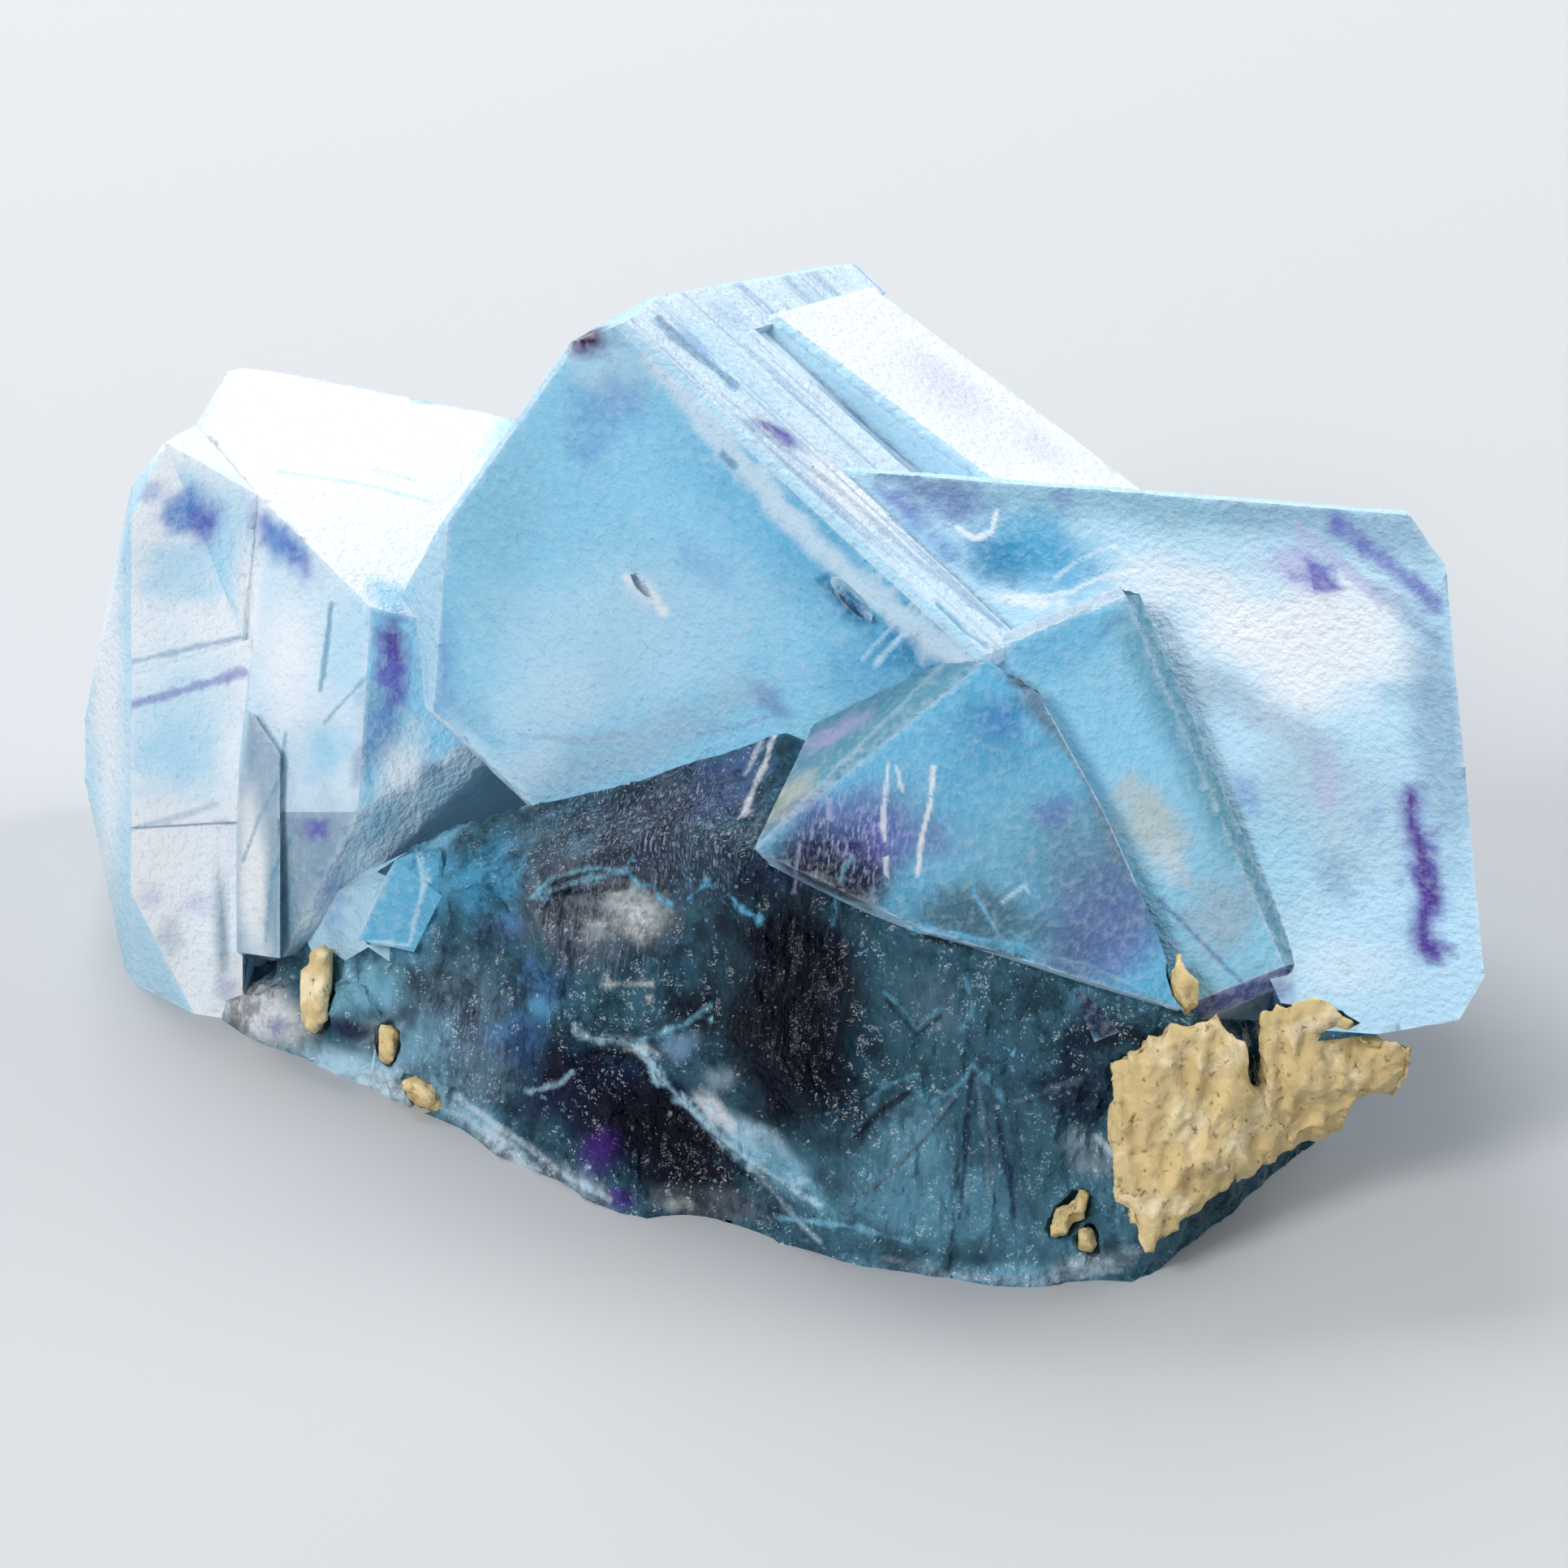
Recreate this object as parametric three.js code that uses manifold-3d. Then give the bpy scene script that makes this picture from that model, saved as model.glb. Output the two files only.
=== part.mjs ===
// A cluster of intergrown fluorite cubes with remnants of its tan matrix, millimetres, +Z up.
// The forms are laid out facing the cluster: x across, y up, z towards the eye.
// The whole is then tipped onto its broken base, which is flat and lies at height 0.
import * as THREE from "three";
import { ConvexGeometry } from "three/addons/geometries/ConvexGeometry.js";
import { TessellateModifier } from "three/addons/modifiers/TessellateModifier.js";
import { ImprovedNoise } from "three/addons/math/ImprovedNoise.js";
import { mergeVertices } from "three/addons/utils/BufferGeometryUtils.js";
import Module from "manifold-3d";

const wasm = await Module();
wasm.setup();

// Driving dimensions
const lookDown = 30; // degrees by which the faced direction looks down on the base
const eye = 280; // mm from the eye to the middle of the cluster
const baseDrop = 10.84; // mm from the middle of the cluster down to the base
const wornEdge = 0.3; // mm, the blunted edges of the cubes
const gap = 0.15; // mm between the matrix and the fluorite around it
const noise = new ImprovedNoise();

// Points as they are seen by the eye, with their depth, turned into true places
function seen([x, y, z]) {
  const near = 1 - z / eye;
  return new THREE.Vector3(x * near, y * near, z);
}

// Solids from three.js geometry, to be joined and cut

function solidFrom(geometry) {
  const loose = geometry.index ? geometry.toNonIndexed() : geometry;
  const plain = new THREE.BufferGeometry();
  plain.setAttribute("position", loose.getAttribute("position"));
  const merged = mergeVertices(plain, 1e-4);
  return new wasm.Manifold(
    new wasm.Mesh({
      numProp: 3,
      vertProperties: merged.attributes.position.array,
      triVerts: new Uint32Array(merged.index.array),
    }),
  );
}

function geometryFrom(solid) {
  const mesh = solid.getMesh();
  const geometry = new THREE.BufferGeometry();
  geometry.setAttribute("position", new THREE.BufferAttribute(mesh.vertProperties, 3));
  geometry.setIndex(new THREE.BufferAttribute(mesh.triVerts, 1));
  return geometry;
}

function placed(geometry, at, turn = [0, 0, 0]) {
  const angles = turn.map(THREE.MathUtils.degToRad);
  const place = new THREE.Matrix4().makeRotationFromEuler(new THREE.Euler(...angles));
  place.setPosition(...at);
  return geometry.applyMatrix4(place);
}

function slab(size, at) {
  return solidFrom(placed(new THREE.BoxGeometry(...size), at));
}

function pit(radii, at, turn) {
  const ball = new THREE.SphereGeometry(1, 16, 10).scale(...radii);
  return solidFrom(placed(ball, seen(at).toArray(), turn));
}

// A cube-like crystal with blunted edges, in its own axes
function crystal(size, wear = wornEdge) {
  const corners = [];
  for (const sx of [-1, 1])
    for (const sy of [-1, 1])
      for (const sz of [-1, 1])
        for (const whole of [0, 1, 2]) {
          const [x, y, z] = size.map((side, axis) => side / 2 - (axis === whole ? 0 : wear));
          corners.push(new THREE.Vector3(sx * x, sy * y, sz * z));
        }
  return solidFrom(new ConvexGeometry(corners));
}

// A flat-faced form through corners as they are seen
const hull = (corners) => new ConvexGeometry(corners.map(seen));

// A broken surface: fine facets moved in and out by noise
function broken(geometry, { facet, height, grain, seed = 0, grow = 0 }) {
  const fine = new TessellateModifier(facet, 14).modify(geometry);
  const plain = new THREE.BufferGeometry();
  plain.setAttribute("position", fine.getAttribute("position"));
  const rough = mergeVertices(plain, 1e-4);
  rough.computeVertexNormals();
  const spot = rough.attributes.position;
  const out = rough.attributes.normal;
  for (let i = 0; i < spot.count; i++) {
    const [x, y, z] = [spot.getX(i), spot.getY(i), spot.getZ(i)];
    const wave = noise.noise(x / grain + seed, y / grain, z / grain);
    const ripple = noise.noise(x / (grain * 0.37), y / (grain * 0.37) + seed, z / (grain * 0.37));
    const move = height * (wave + 0.45 * ripple) + grow;
    spot.setXYZ(i, x + move * out.getX(i), y + move * out.getY(i), z + move * out.getZ(i));
  }
  return rough;
}

// Takes away all that lies beyond a plane, given by a point on it and the way it faces
function cutAway(solid, at, facing) {
  const reach = 90;
  const way = new THREE.Vector3(...facing).normalize();
  const tool = new THREE.BoxGeometry(reach, reach, reach);
  tool.translate(0, 0, reach / 2);
  tool.applyQuaternion(new THREE.Quaternion().setFromUnitVectors(new THREE.Vector3(0, 0, 1), way));
  tool.translate(...at);
  return solid.subtract(solidFrom(tool));
}

// The largest cube: a broad face towards the eye and a stepped face leaning back above it
function mainCube() {
  const [wide, long, deep] = [15, 17.5, 18.5];
  let cube = crystal([wide, long, deep]);
  const steps = [
    { from: 3.1, depth: 0.3, start: -9, end: 9 },
    { from: 5.2, depth: 0.6, start: -1.5, end: 9 },
    { from: 8.4, depth: 0.95, start: -4.5, end: 6.4 },
  ];
  for (const { from, depth, start, end } of steps) {
    const size = [2, end - start, deep];
    cube = cube.subtract(slab(size, [wide / 2 + 1 - depth, (start + end) / 2, -from]));
  }
  cube = solidFrom(placed(geometryFrom(cube), [0.2, 5.8, -7.9], [10.9, -26, 52.4]));
  cube = cutAway(cube, [-6, 14.4, 1.5], [-0.37, 0.9, 0.15]);
  cube = cutAway(cube, [0, 16.3, -4], [-0.08, 0.98, 0.1]);
  cube = cutAway(cube, [-11.8, 4, -4.3], [-0.85, -0.05, 0.52]);
  const pits = [
    [[1.1, 0.28, 0.4], [2.1, 6, 3.6], [0, 0, -44]],
    [[0.8, 0.2, 0.3], [-4.4, 6.2, 0.1], [0, 0, -48]],
    [[0.75, 0.2, 0.3], [-0.3, 11.3, 2.9], [0, 0, -30]],
  ];
  for (const [radii, at, turn] of pits) cube = cube.subtract(pit(radii, at, turn));
  return cube;
}

// A cube grown on the far side of it, turned a little out of line
function farCube() {
  return solidFrom(placed(geometryFrom(crystal([10, 14.8, 8])), [4.4, 8, -10.5], [10.9, -26, 57.9]));
}

// The broad cube on the right
function rightCube() {
  let cube = crystal([25, 19, 13]);
  cube = solidFrom(placed(geometryFrom(cube), [10.8, -1.7, -2.6], [-25, 5.7, -2.1]));
  cube = cutAway(cube, [21.4, 6.2, -0.1], [0.99, 0.02, -0.08]);
  cube = cutAway(cube, [20.7, 8, -1], [0.84, 0.54, -0.05]);
  cube = cutAway(cube, [21.3, -7.2, 5.5], [0.8, -0.58, -0.14]);
  cube = cutAway(cube, [19, -7.7, 6.2], [0.1, -0.95, -0.3]);
  cube = cutAway(cube, [1.6, 10.2, 0], [-0.85, -0.53, 0]);
  const taken = placed(new THREE.BoxGeometry(20, 26, 12), [6.4, -10.2, 9.4], [-13.9, 0, 22.1]);
  return cube.subtract(solidFrom(taken));
}

// The narrow block that stands out from it
function steppedBlock() {
  return solidFrom(placed(geometryFrom(crystal([7.5, 14, 7], 0.5)), [10.3, -1.9, 1.7], [-13.9, 0, 22.1]));
}

// The foremost block, its top corner just under the corner of the largest cube
function frontBlock() {
  return solidFrom(
    hull([
      [7.2, 3.6, 5.2],
      [8.2, 2.9, 5.4],
      [10.3, -0.9, 6.3],
      [11.6, -3.8, 7],
      [12.9, -7.3, 7.8],
      [5, 1.3, 5.8],
      [2.5, 0.3, 6],
      [-1, -2.1, 6.6],
      [4.3, -4.6, 7.2],
      [8.2, -5.2, 7.3],
      [6.5, 4, 5.2],
      [5.1, 3.9, 4.7],
      [0.9, 1.9, 2.5],
      [11, -7, -3],
      [2, -5, -3],
      [9, 0, -4],
      [4, 1, -4],
    ]),
  );
}

// The cubes on the left, seen from their side, with the bright slab behind them
function leftCubes() {
  const front = hull([
    [-19.9, 11, -8.6],
    [-21, 8.5, -8.6],
    [-21, 4.3, -8.6],
    [-21, -3.5, -8.9],
    [-20.8, -8, -10.8],
    [-17.4, -10.4, -8.2],
    [-21.9, 4.9, -11.7],
    [-22.5, 2, -12],
    [-22.5, 0.2, -12],
    [-21.7, -3.1, -11.7],
    [-21.2, -3.5, -11.5],
    [-21, 9.5, -11.5],
    [-18.9, 11.6, -12.5],
    [-16.9, 9.3, -8.3],
    [-17.4, 4.7, -7.8],
    [-17.4, 0.4, -7.8],
    [-18.4, -0.9, -8.1],
    [-18.4, -7.3, -8.4],
    [-21.3, 7, -17],
    [-21.6, 1, -20],
    [-20, -4, -21],
    [-16, 6, -18],
  ]);
  const back = hull([
    [-16.9, 9.3, -8.3],
    [-13.3, 5.7, -4.4],
    [-18.9, 11.6, -14.6],
    [-17.9, 13.3, -15.7],
    [-17.4, 13.4, -15.7],
    [-15.3, 13.1, -15.7],
    [-14.8, 12.8, -15.7],
    [-9.3, 11.8, -15.7],
    [-4, 10.8, -15.7],
    [-17.4, -0.9, -6.8],
    [-16.1, -5.6, -6],
    [-13.7, -0.9, -3.9],
    [-18.8, 3, -19.6],
    [-17, -3, -21],
    [-5, 2, -19.6],
    [-6, -3, -21],
    [-6, 4, -5],
  ]);
  const ledge = hull([
    [-21, 3.5, -8.5],
    [-17.1, 4.7, -7.5],
    [-17.1, -1.2, -7.5],
    [-21, -1.4, -8.6],
    [-20.8, 3.5, -11],
    [-20.8, -1.4, -11],
    [-17, 3.5, -11],
    [-17, -1.4, -11],
  ]);
  const rib = hull([
    [-17.2, 2.4, -6.3],
    [-16.2, 1, -5.4],
    [-16.2, -5.6, -5.2],
    [-17.6, -5.4, -6.2],
    [-17.6, -1, -6.4],
    [-17.4, 2, -9],
    [-16, 1, -9],
    [-16, -5.6, -9],
    [-17.6, -5.4, -9],
  ]);
  return [back, ledge, rib].reduce((joined, next) => joined.add(solidFrom(next)), solidFrom(front));
}

// A small bright facet low on the left of the largest cube
function cornerFacet() {
  return solidFrom(
    hull([
      [-12.5, -2.4, -3.2],
      [-11, -2, -2.8],
      [-11, -3.6, -2.4],
      [-11.9, -5.4, -2.9],
      [-13.7, -5, -3.7],
      [-13.1, -3.4, -3.6],
      [-12.5, -3, -8],
      [-10, -4, -8],
    ]),
  );
}

// The broken heart of the cluster, where it came off the rock, with its shell-like hollows
function heart() {
  const body = hull([
    [-8.6, -2, -4.1],
    [-4.2, 0, -1.5],
    [0.2, 1.9, 1.3],
    [-8, -3.5, -0.3],
    [-4.3, -3.5, 3.4],
    [-1, -2.1, 5.4],
    [7.8, -3.9, 5.6],
    [13, -7.8, 7],
    [14.5, -10.8, 5.2],
    [10.8, -18, 5.3],
    [6, -18.2, 5.3],
    [2.5, -17.4, 4.2],
    [-1.2, -16.5, 2.9],
    [-4.6, -15.9, 1.9],
    [-5.9, -15.6, 1.4],
    [-8.5, -14.2, -1],
    [-11.1, -12.6, -4],
    [-13.7, -12, -5.2],
    [-15.3, -11, -7.1],
    [-16.9, -10.6, -7.8],
    [-12.7, -3.6, -4.4],
    [-16.1, -3.4, -6.8],
    [14.7, -14.6, -0.4],
    [19.2, -11.2, -6.4],
    [18, 0, -8],
    [-15, -4, -16.5],
    [15, -2.4, -17.5],
  ]);
  let solid = solidFrom(broken(body, { facet: 1.7, height: 0.4, grain: 3.4, seed: 5 }));
  const shells = [
    { radii: [7.5, 5.2, 5], at: [-5, -11.2, 6.7], turn: [0, 0, -36], seed: 1 },
    { radii: [6.5, 9, 6], at: [0.2, -6.6, 10.4], turn: [0, 0, 14], seed: 4 },
    { radii: [9, 10, 6], at: [5.8, -11.2, 11.7], turn: [8, 0, -24], seed: 7 },
    { radii: [6, 7, 5], at: [-6.6, -6, 5.6], turn: [0, -30, 8], seed: 3 },
    { radii: [4, 6, 4], at: [-11.4, -7.4, 1], turn: [0, -20, 0], seed: 8 },
    { radii: [5, 4, 4], at: [11, -11.8, 9.6], turn: [0, 0, 30], seed: 6 },
  ];
  for (const { radii, at, turn, seed } of shells) {
    const ball = placed(new THREE.IcosahedronGeometry(1, 9).scale(...radii), seen(at).toArray(), turn);
    solid = solid.subtract(solidFrom(broken(ball, { facet: 3, height: 0.3, grain: 2.6, seed })));
  }
  return solid;
}

// The lip that runs out low on the left
function leftLip() {
  const body = hull([
    [-18.4, -9.8, -8.8],
    [-17.4, -10.4, -8.2],
    [-15.3, -10.6, -7],
    [-13.7, -12, -5.2],
    [-18, -7, -8],
    [-16.1, -6.6, -6],
    [-13.7, -6.6, -4.1],
    [-17, -5, -16],
    [-10, -6, -12],
    [-10, -10.5, -3.6],
  ]);
  return solidFrom(broken(body, { facet: 1.5, height: 0.25, grain: 2.4, seed: 11 }));
}

// The tan matrix: two lumps that meet low on the right
function matrixLumps(grow) {
  const left = hull([
    [10.5, -9, 7.2],
    [11.3, -8.7, 7.6],
    [12.4, -7.8, 7.8],
    [13, -8.1, 7.9],
    [13.9, -7.4, 7.6],
    [14.5, -9.5, 7.2],
    [15.1, -11.1, 6.2],
    [13.9, -12.4, 6.2],
    [12.6, -13.9, 6.6],
    [11.6, -15, 6.6],
    [10.7, -13.4, 6.8],
    [10.9, -11.1, 7.6],
    [16.4, -11.6, 4.6],
    [12, -9, 4],
    [13.5, -12, 3],
  ]);
  const right = hull([
    [15.4, -7.4, 6.6],
    [17.1, -7.1, 6.8],
    [20.2, -8.5, 6],
    [20.3, -9, 5.6],
    [19.7, -9.8, 4.4],
    [17.6, -11.1, 3.8],
    [16, -11.8, 3.9],
    [14.6, -12.6, 4.6],
    [15.5, -10, 6.2],
    [16, -8.5, 2],
    [19.5, -8.9, 2],
  ]);
  const grit = { facet: 0.9, height: 0.34, grain: 1.5, grow };
  return solidFrom(broken(left, { ...grit, seed: 2 })).add(solidFrom(broken(right, { ...grit, seed: 9 })));
}

// Grains of the matrix left here and there on the broken side
const grains = [
  { name: "matrix_tip", radii: [0.42, 0.95, 0.7], at: [12.8, -6.5, 7.2], turn: 8 },
  { name: "matrix_sliver", radii: [0.5, 1.5, 0.7], at: [-15, -6.6, -5.2], turn: -6 },
  { name: "matrix_grain", radii: [0.35, 0.6, 0.6], at: [-12.7, -8.3, -4], turn: 0 },
  { name: "matrix_flake", radii: [0.85, 0.35, 0.6], at: [-11.6, -10, -3.3], turn: -38 },
  { name: "matrix_chip", radii: [0.85, 0.3, 0.6], at: [9.2, -13.8, 5.9], turn: 48 },
  { name: "matrix_speck", radii: [0.3, 0.35, 0.6], at: [9.8, -14.6, 5.6], turn: 0 },
];

function grain({ radii, at, turn }, grow) {
  const ball = placed(new THREE.IcosahedronGeometry(1, 2).scale(...radii), seen(at).toArray(), [0, 0, turn]);
  return solidFrom(broken(ball, { facet: 3, height: 0.14, grain: 0.7, grow }));
}

// Tips a solid from the way it is faced onto its base, which is cut flat
function rested(solid) {
  const geometry = geometryFrom(solid);
  geometry.rotateX(THREE.MathUtils.degToRad(90 - lookDown));
  geometry.translate(0, 0, baseDrop);
  return cutAway(solidFrom(geometry), [0, 0, 0], [0, 0, -1]);
}

const part = new THREE.Group();

function addPiece(name, solid, color, roughness) {
  const look = new THREE.MeshStandardMaterial({ color, roughness, metalness: 0 });
  const mesh = new THREE.Mesh(geometryFrom(rested(solid)), look);
  mesh.name = name;
  part.add(mesh);
}

let cluster = heart();
for (const grown of [
  mainCube(),
  farCube(),
  rightCube(),
  steppedBlock(),
  frontBlock(),
  leftCubes(),
  leftLip(),
  cornerFacet(),
])
  cluster = cluster.add(grown);
cluster = cluster.subtract(matrixLumps(gap));
for (const piece of grains) cluster = cluster.subtract(grain(piece, gap));

addPiece("fluorite_cluster", cluster, 0x9fd3e6, 0.3);
addPiece("matrix_crust", matrixLumps(0), 0xd9bd85, 0.9);
for (const piece of grains) addPiece(piece.name, grain(piece, 0), 0xd9bd85, 0.9);

export default part;
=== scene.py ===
import math

import bmesh
import bpy
import numpy as np
from mathutils import Euler, Matrix, Vector, noise
from mathutils.bvhtree import BVHTree


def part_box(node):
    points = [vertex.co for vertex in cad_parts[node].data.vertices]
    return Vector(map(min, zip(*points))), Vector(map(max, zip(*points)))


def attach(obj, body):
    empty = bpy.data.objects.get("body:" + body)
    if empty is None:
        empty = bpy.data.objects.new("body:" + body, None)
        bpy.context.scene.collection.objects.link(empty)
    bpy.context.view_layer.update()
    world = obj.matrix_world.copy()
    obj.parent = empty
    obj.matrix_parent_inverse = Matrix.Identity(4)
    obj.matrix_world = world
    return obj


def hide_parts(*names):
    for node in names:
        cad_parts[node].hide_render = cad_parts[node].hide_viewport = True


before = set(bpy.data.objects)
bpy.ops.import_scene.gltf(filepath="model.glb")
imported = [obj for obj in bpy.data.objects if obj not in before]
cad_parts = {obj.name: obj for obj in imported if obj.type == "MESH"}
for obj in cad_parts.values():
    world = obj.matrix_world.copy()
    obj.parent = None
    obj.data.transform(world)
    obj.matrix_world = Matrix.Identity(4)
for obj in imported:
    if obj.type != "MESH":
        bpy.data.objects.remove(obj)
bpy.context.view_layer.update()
print("frame loaded")

mm = 0.001

# how the cluster is faced: marks are placed in mm across and up from the middle of this view
facing = {
    "tilt": 30,       # degrees looked down from
    "lift": 10.84,    # mm from the floor up to the middle of the view
    "distance": 280,  # mm to the eye
    "lens": 200,
}
tiltSin = math.sin(math.radians(facing["tilt"]))
tiltCos = math.cos(math.radians(facing["tilt"]))
toFacing = Matrix(((1, 0, 0), (0, tiltSin, tiltCos), (0, -tiltCos, tiltSin)))
toRow = toFacing.transposed()
across, upward, outward = toRow.col
mainEdge = toRow @ Vector((0.712, -0.664, 0.225)).normalized()  # along the main cube's long edge
middle = Vector((0, 0, facing["lift"]))
eye = Vector((0, 0, facing["distance"]))


def facedPoint(point):  # row frame in metres to faced axes in mm
    return toFacing @ (Vector(point) / mm - middle)


def rowPoint(point):  # and back
    return (toRow @ Vector(point) + middle) * mm


def facedArray(points):
    return (points / mm - np.array(middle)) @ np.array(toRow)


def srgb(red, green, blue):
    return tuple(((c / 255 + 0.055) / 1.055) ** 2.4 if c > 10 else c / 3294 for c in (red, green, blue))


colours = {
    "snow": srgb(250, 253, 255),
    "pearl": srgb(222, 241, 252),
    "ice": srgb(192, 231, 250),
    "sky": srgb(150, 215, 244),
    "pool": srgb(108, 190, 228),
    "cyan": srgb(84, 172, 212),
    "lagoon": srgb(34, 130, 176),
    "steel": srgb(124, 160, 190),
    "mist": srgb(168, 190, 206),
    "blue": srgb(84, 136, 206),
    "dusk": srgb(96, 112, 170),
    "violet": srgb(92, 80, 186),
    "purple": srgb(78, 36, 140),
    "plum": srgb(70, 8, 66),
    "lilac": srgb(190, 184, 228),
    "slate": srgb(104, 132, 150),
    "grey": srgb(104, 112, 122),
    "greyTeal": srgb(62, 104, 122),
    "sea": srgb(100, 160, 184),
    "deepTeal": srgb(22, 62, 82),
    "indigo": srgb(18, 20, 62),
    # ink and indigo are also laid as painted shade, in the black hollow and as shadow lines beside the
    # crests
    "ink": srgb(4, 7, 26),
    "haze": srgb(138, 198, 222),
    "bone": srgb(196, 204, 200),
    "straw": srgb(176, 176, 148),
    "bark": srgb(60, 66, 78),
}

# materials: shared node groups, then the materials that place them


def addNode(tree, kind, **values):
    node = tree.nodes.new(kind)
    for name, value in values.items():
        setattr(node, name, value)
    return node


def newGroup(name, inputs, outputs):
    tree = bpy.data.node_groups.new(name, "ShaderNodeTree")
    for socketName, kind, default in inputs:
        socket = tree.interface.new_socket(socketName, in_out="INPUT", socket_type=kind)
        socket.default_value = default
    for socketName, kind in outputs:
        tree.interface.new_socket(socketName, in_out="OUTPUT", socket_type=kind)
    return tree, addNode(tree, "NodeGroupInput"), addNode(tree, "NodeGroupOutput")


def placeGroup(tree, group, vector, **values):
    node = addNode(tree, "ShaderNodeGroup", node_tree=group)
    tree.links.new(vector, node.inputs["Vector"])
    for name, value in values.items():
        node.inputs[name].default_value = value
    return node


def mathNode(tree, operation, *values, clamp=False):
    node = addNode(tree, "ShaderNodeMath", operation=operation, use_clamp=clamp)
    for socket, value in zip(node.inputs, values):
        if isinstance(value, (int, float)):
            socket.default_value = value
        else:
            tree.links.new(value, socket)
    return node.outputs[0]


def mixColour(tree, factor, first, second):
    node = addNode(tree, "ShaderNodeMix", data_type="RGBA")
    for socket, value in zip((node.inputs[0], node.inputs[6], node.inputs[7]), (factor, first, second)):
        if isinstance(value, (int, float)):
            socket.default_value = value
        elif isinstance(value, tuple):
            socket.default_value = (*value[:3], 1)
        else:
            tree.links.new(value, socket)
    return node.outputs[2]


def noiseNode(tree, vector, scale, detail=4, roughness=0.6, distortion=0):
    node = addNode(tree, "ShaderNodeTexNoise")
    node.inputs["Scale"].default_value = scale
    node.inputs["Detail"].default_value = detail
    node.inputs["Roughness"].default_value = roughness
    node.inputs["Distortion"].default_value = distortion
    tree.links.new(vector, node.inputs["Vector"])
    return node.outputs["Fac"]


def rampNode(tree, value, low, high, outLow=0, outHigh=1):
    node = addNode(tree, "ShaderNodeMapRange", interpolation_type="SMOOTHSTEP")
    for name, number in (("From Min", low), ("From Max", high), ("To Min", outLow), ("To Max", outHigh)):
        node.inputs[name].default_value = number
    tree.links.new(value, node.inputs["Value"])
    return node.outputs["Result"]


def stretchNode(tree, vector, turn, scale):  # turns to axes of its own, then divides by scale along them
    node = addNode(tree, "ShaderNodeMapping", vector_type="TEXTURE")
    node.inputs["Rotation"].default_value = turn
    node.inputs["Scale"].default_value = scale
    tree.links.new(vector, node.inputs["Vector"])
    return node.outputs[0]


def etchGroup():  # the fine orange-peel etching and small pits of a natural crystal face
    tree, given, out = newGroup(
        "etching",
        [("Vector", "NodeSocketVector", (0, 0, 0))],
        [("Height", "NodeSocketFloat"), ("Pits", "NodeSocketFloat"), ("Veil", "NodeSocketFloat")],
    )
    peel = noiseNode(tree, given.outputs["Vector"], 3400, 2, 0.6)
    tree.links.new(peel, out.inputs["Height"])
    tree.links.new(rampNode(tree, peel, 0.34, 0.28), out.inputs["Pits"])
    tree.links.new(rampNode(tree, peel, 0.42, 0.74), out.inputs["Veil"])
    return tree


def hackleGroup():  # shell-like ripples and torn fibres of a broken face, with painted glints on the ripples and painted shade in their hollows
    tree, given, out = newGroup(
        "hackle",
        [("Vector", "NodeSocketVector", (0, 0, 0))],
        [
            ("Height", "NodeSocketFloat"),
            ("Glints", "NodeSocketFloat"),
            ("Fibres", "NodeSocketFloat"),
            ("Shade", "NodeSocketFloat"),
        ],
    )
    vector = given.outputs["Vector"]
    lengthwise = stretchNode(tree, vector, (math.radians(-30), math.radians(9), 0), (1, 1, 24))
    fibres = noiseNode(tree, lengthwise, 11000, 2, 0.6)
    ripples = noiseNode(tree, vector, 640, 4, 0.76)
    paintedSparkle = rampNode(tree, noiseNode(tree, vector, 5600, 1), 0.62, 0.72)
    tree.links.new(ripples, out.inputs["Height"])
    paintedSparkle = mathNode(tree, "MULTIPLY", paintedSparkle, rampNode(tree, ripples, 0.44, 0.58))
    tree.links.new(paintedSparkle, out.inputs["Glints"])
    tree.links.new(rampNode(tree, fibres, 0.50, 0.70), out.inputs["Fibres"])
    tree.links.new(rampNode(tree, ripples, 0.38, 0.56), out.inputs["Shade"])
    return tree


def growthGroup():  # fine growth lines, parallel to the long edge of the main cube
    tree, given, out = newGroup(
        "growthLines", [("Vector", "NodeSocketVector", (0, 0, 0))], [("Lines", "NodeSocketFloat")]
    )
    turn = mainEdge.to_track_quat("Z", "Y").to_euler()
    lengthwise = stretchNode(tree, given.outputs["Vector"], tuple(turn), (1, 1, 18))
    tree.links.new(noiseNode(tree, lengthwise, 1500, 3, 0.7), out.inputs["Lines"])
    return tree


def driftGroup():  # uneven colour through the stone
    tree, given, out = newGroup(
        "colourDrift",
        [
            ("Vector", "NodeSocketVector", (0, 0, 0)),
            ("Colour", "NodeSocketColor", (1, 1, 1, 1)),
            ("Scale", "NodeSocketFloat", 300),
            ("Amount", "NodeSocketFloat", 0.2),
        ],
        [("Colour", "NodeSocketColor")],
    )
    spread = addNode(tree, "ShaderNodeTexNoise")
    spread.inputs["Detail"].default_value = 2
    tree.links.new(given.outputs["Vector"], spread.inputs["Vector"])
    tree.links.new(given.outputs["Scale"], spread.inputs["Scale"])
    centred = mathNode(tree, "MULTIPLY_ADD", spread.outputs["Fac"], 4.0, -2.0)
    value = mathNode(tree, "MULTIPLY_ADD", centred, given.outputs["Amount"], 1.0)
    shade = addNode(tree, "ShaderNodeVectorMath", operation="SCALE")
    tree.links.new(given.outputs["Colour"], shade.inputs[0])
    tree.links.new(value, shade.inputs["Scale"])
    tree.links.new(shade.outputs[0], out.inputs["Colour"])
    return tree


etching = etchGroup()
hackle = hackleGroup()
growthLines = growthGroup()
colourDrift = driftGroup()


def newMaterial(name):
    material = bpy.data.materials.new(name)
    material.use_nodes = True
    return material, material.node_tree, material.node_tree.nodes["Principled BSDF"]


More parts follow.
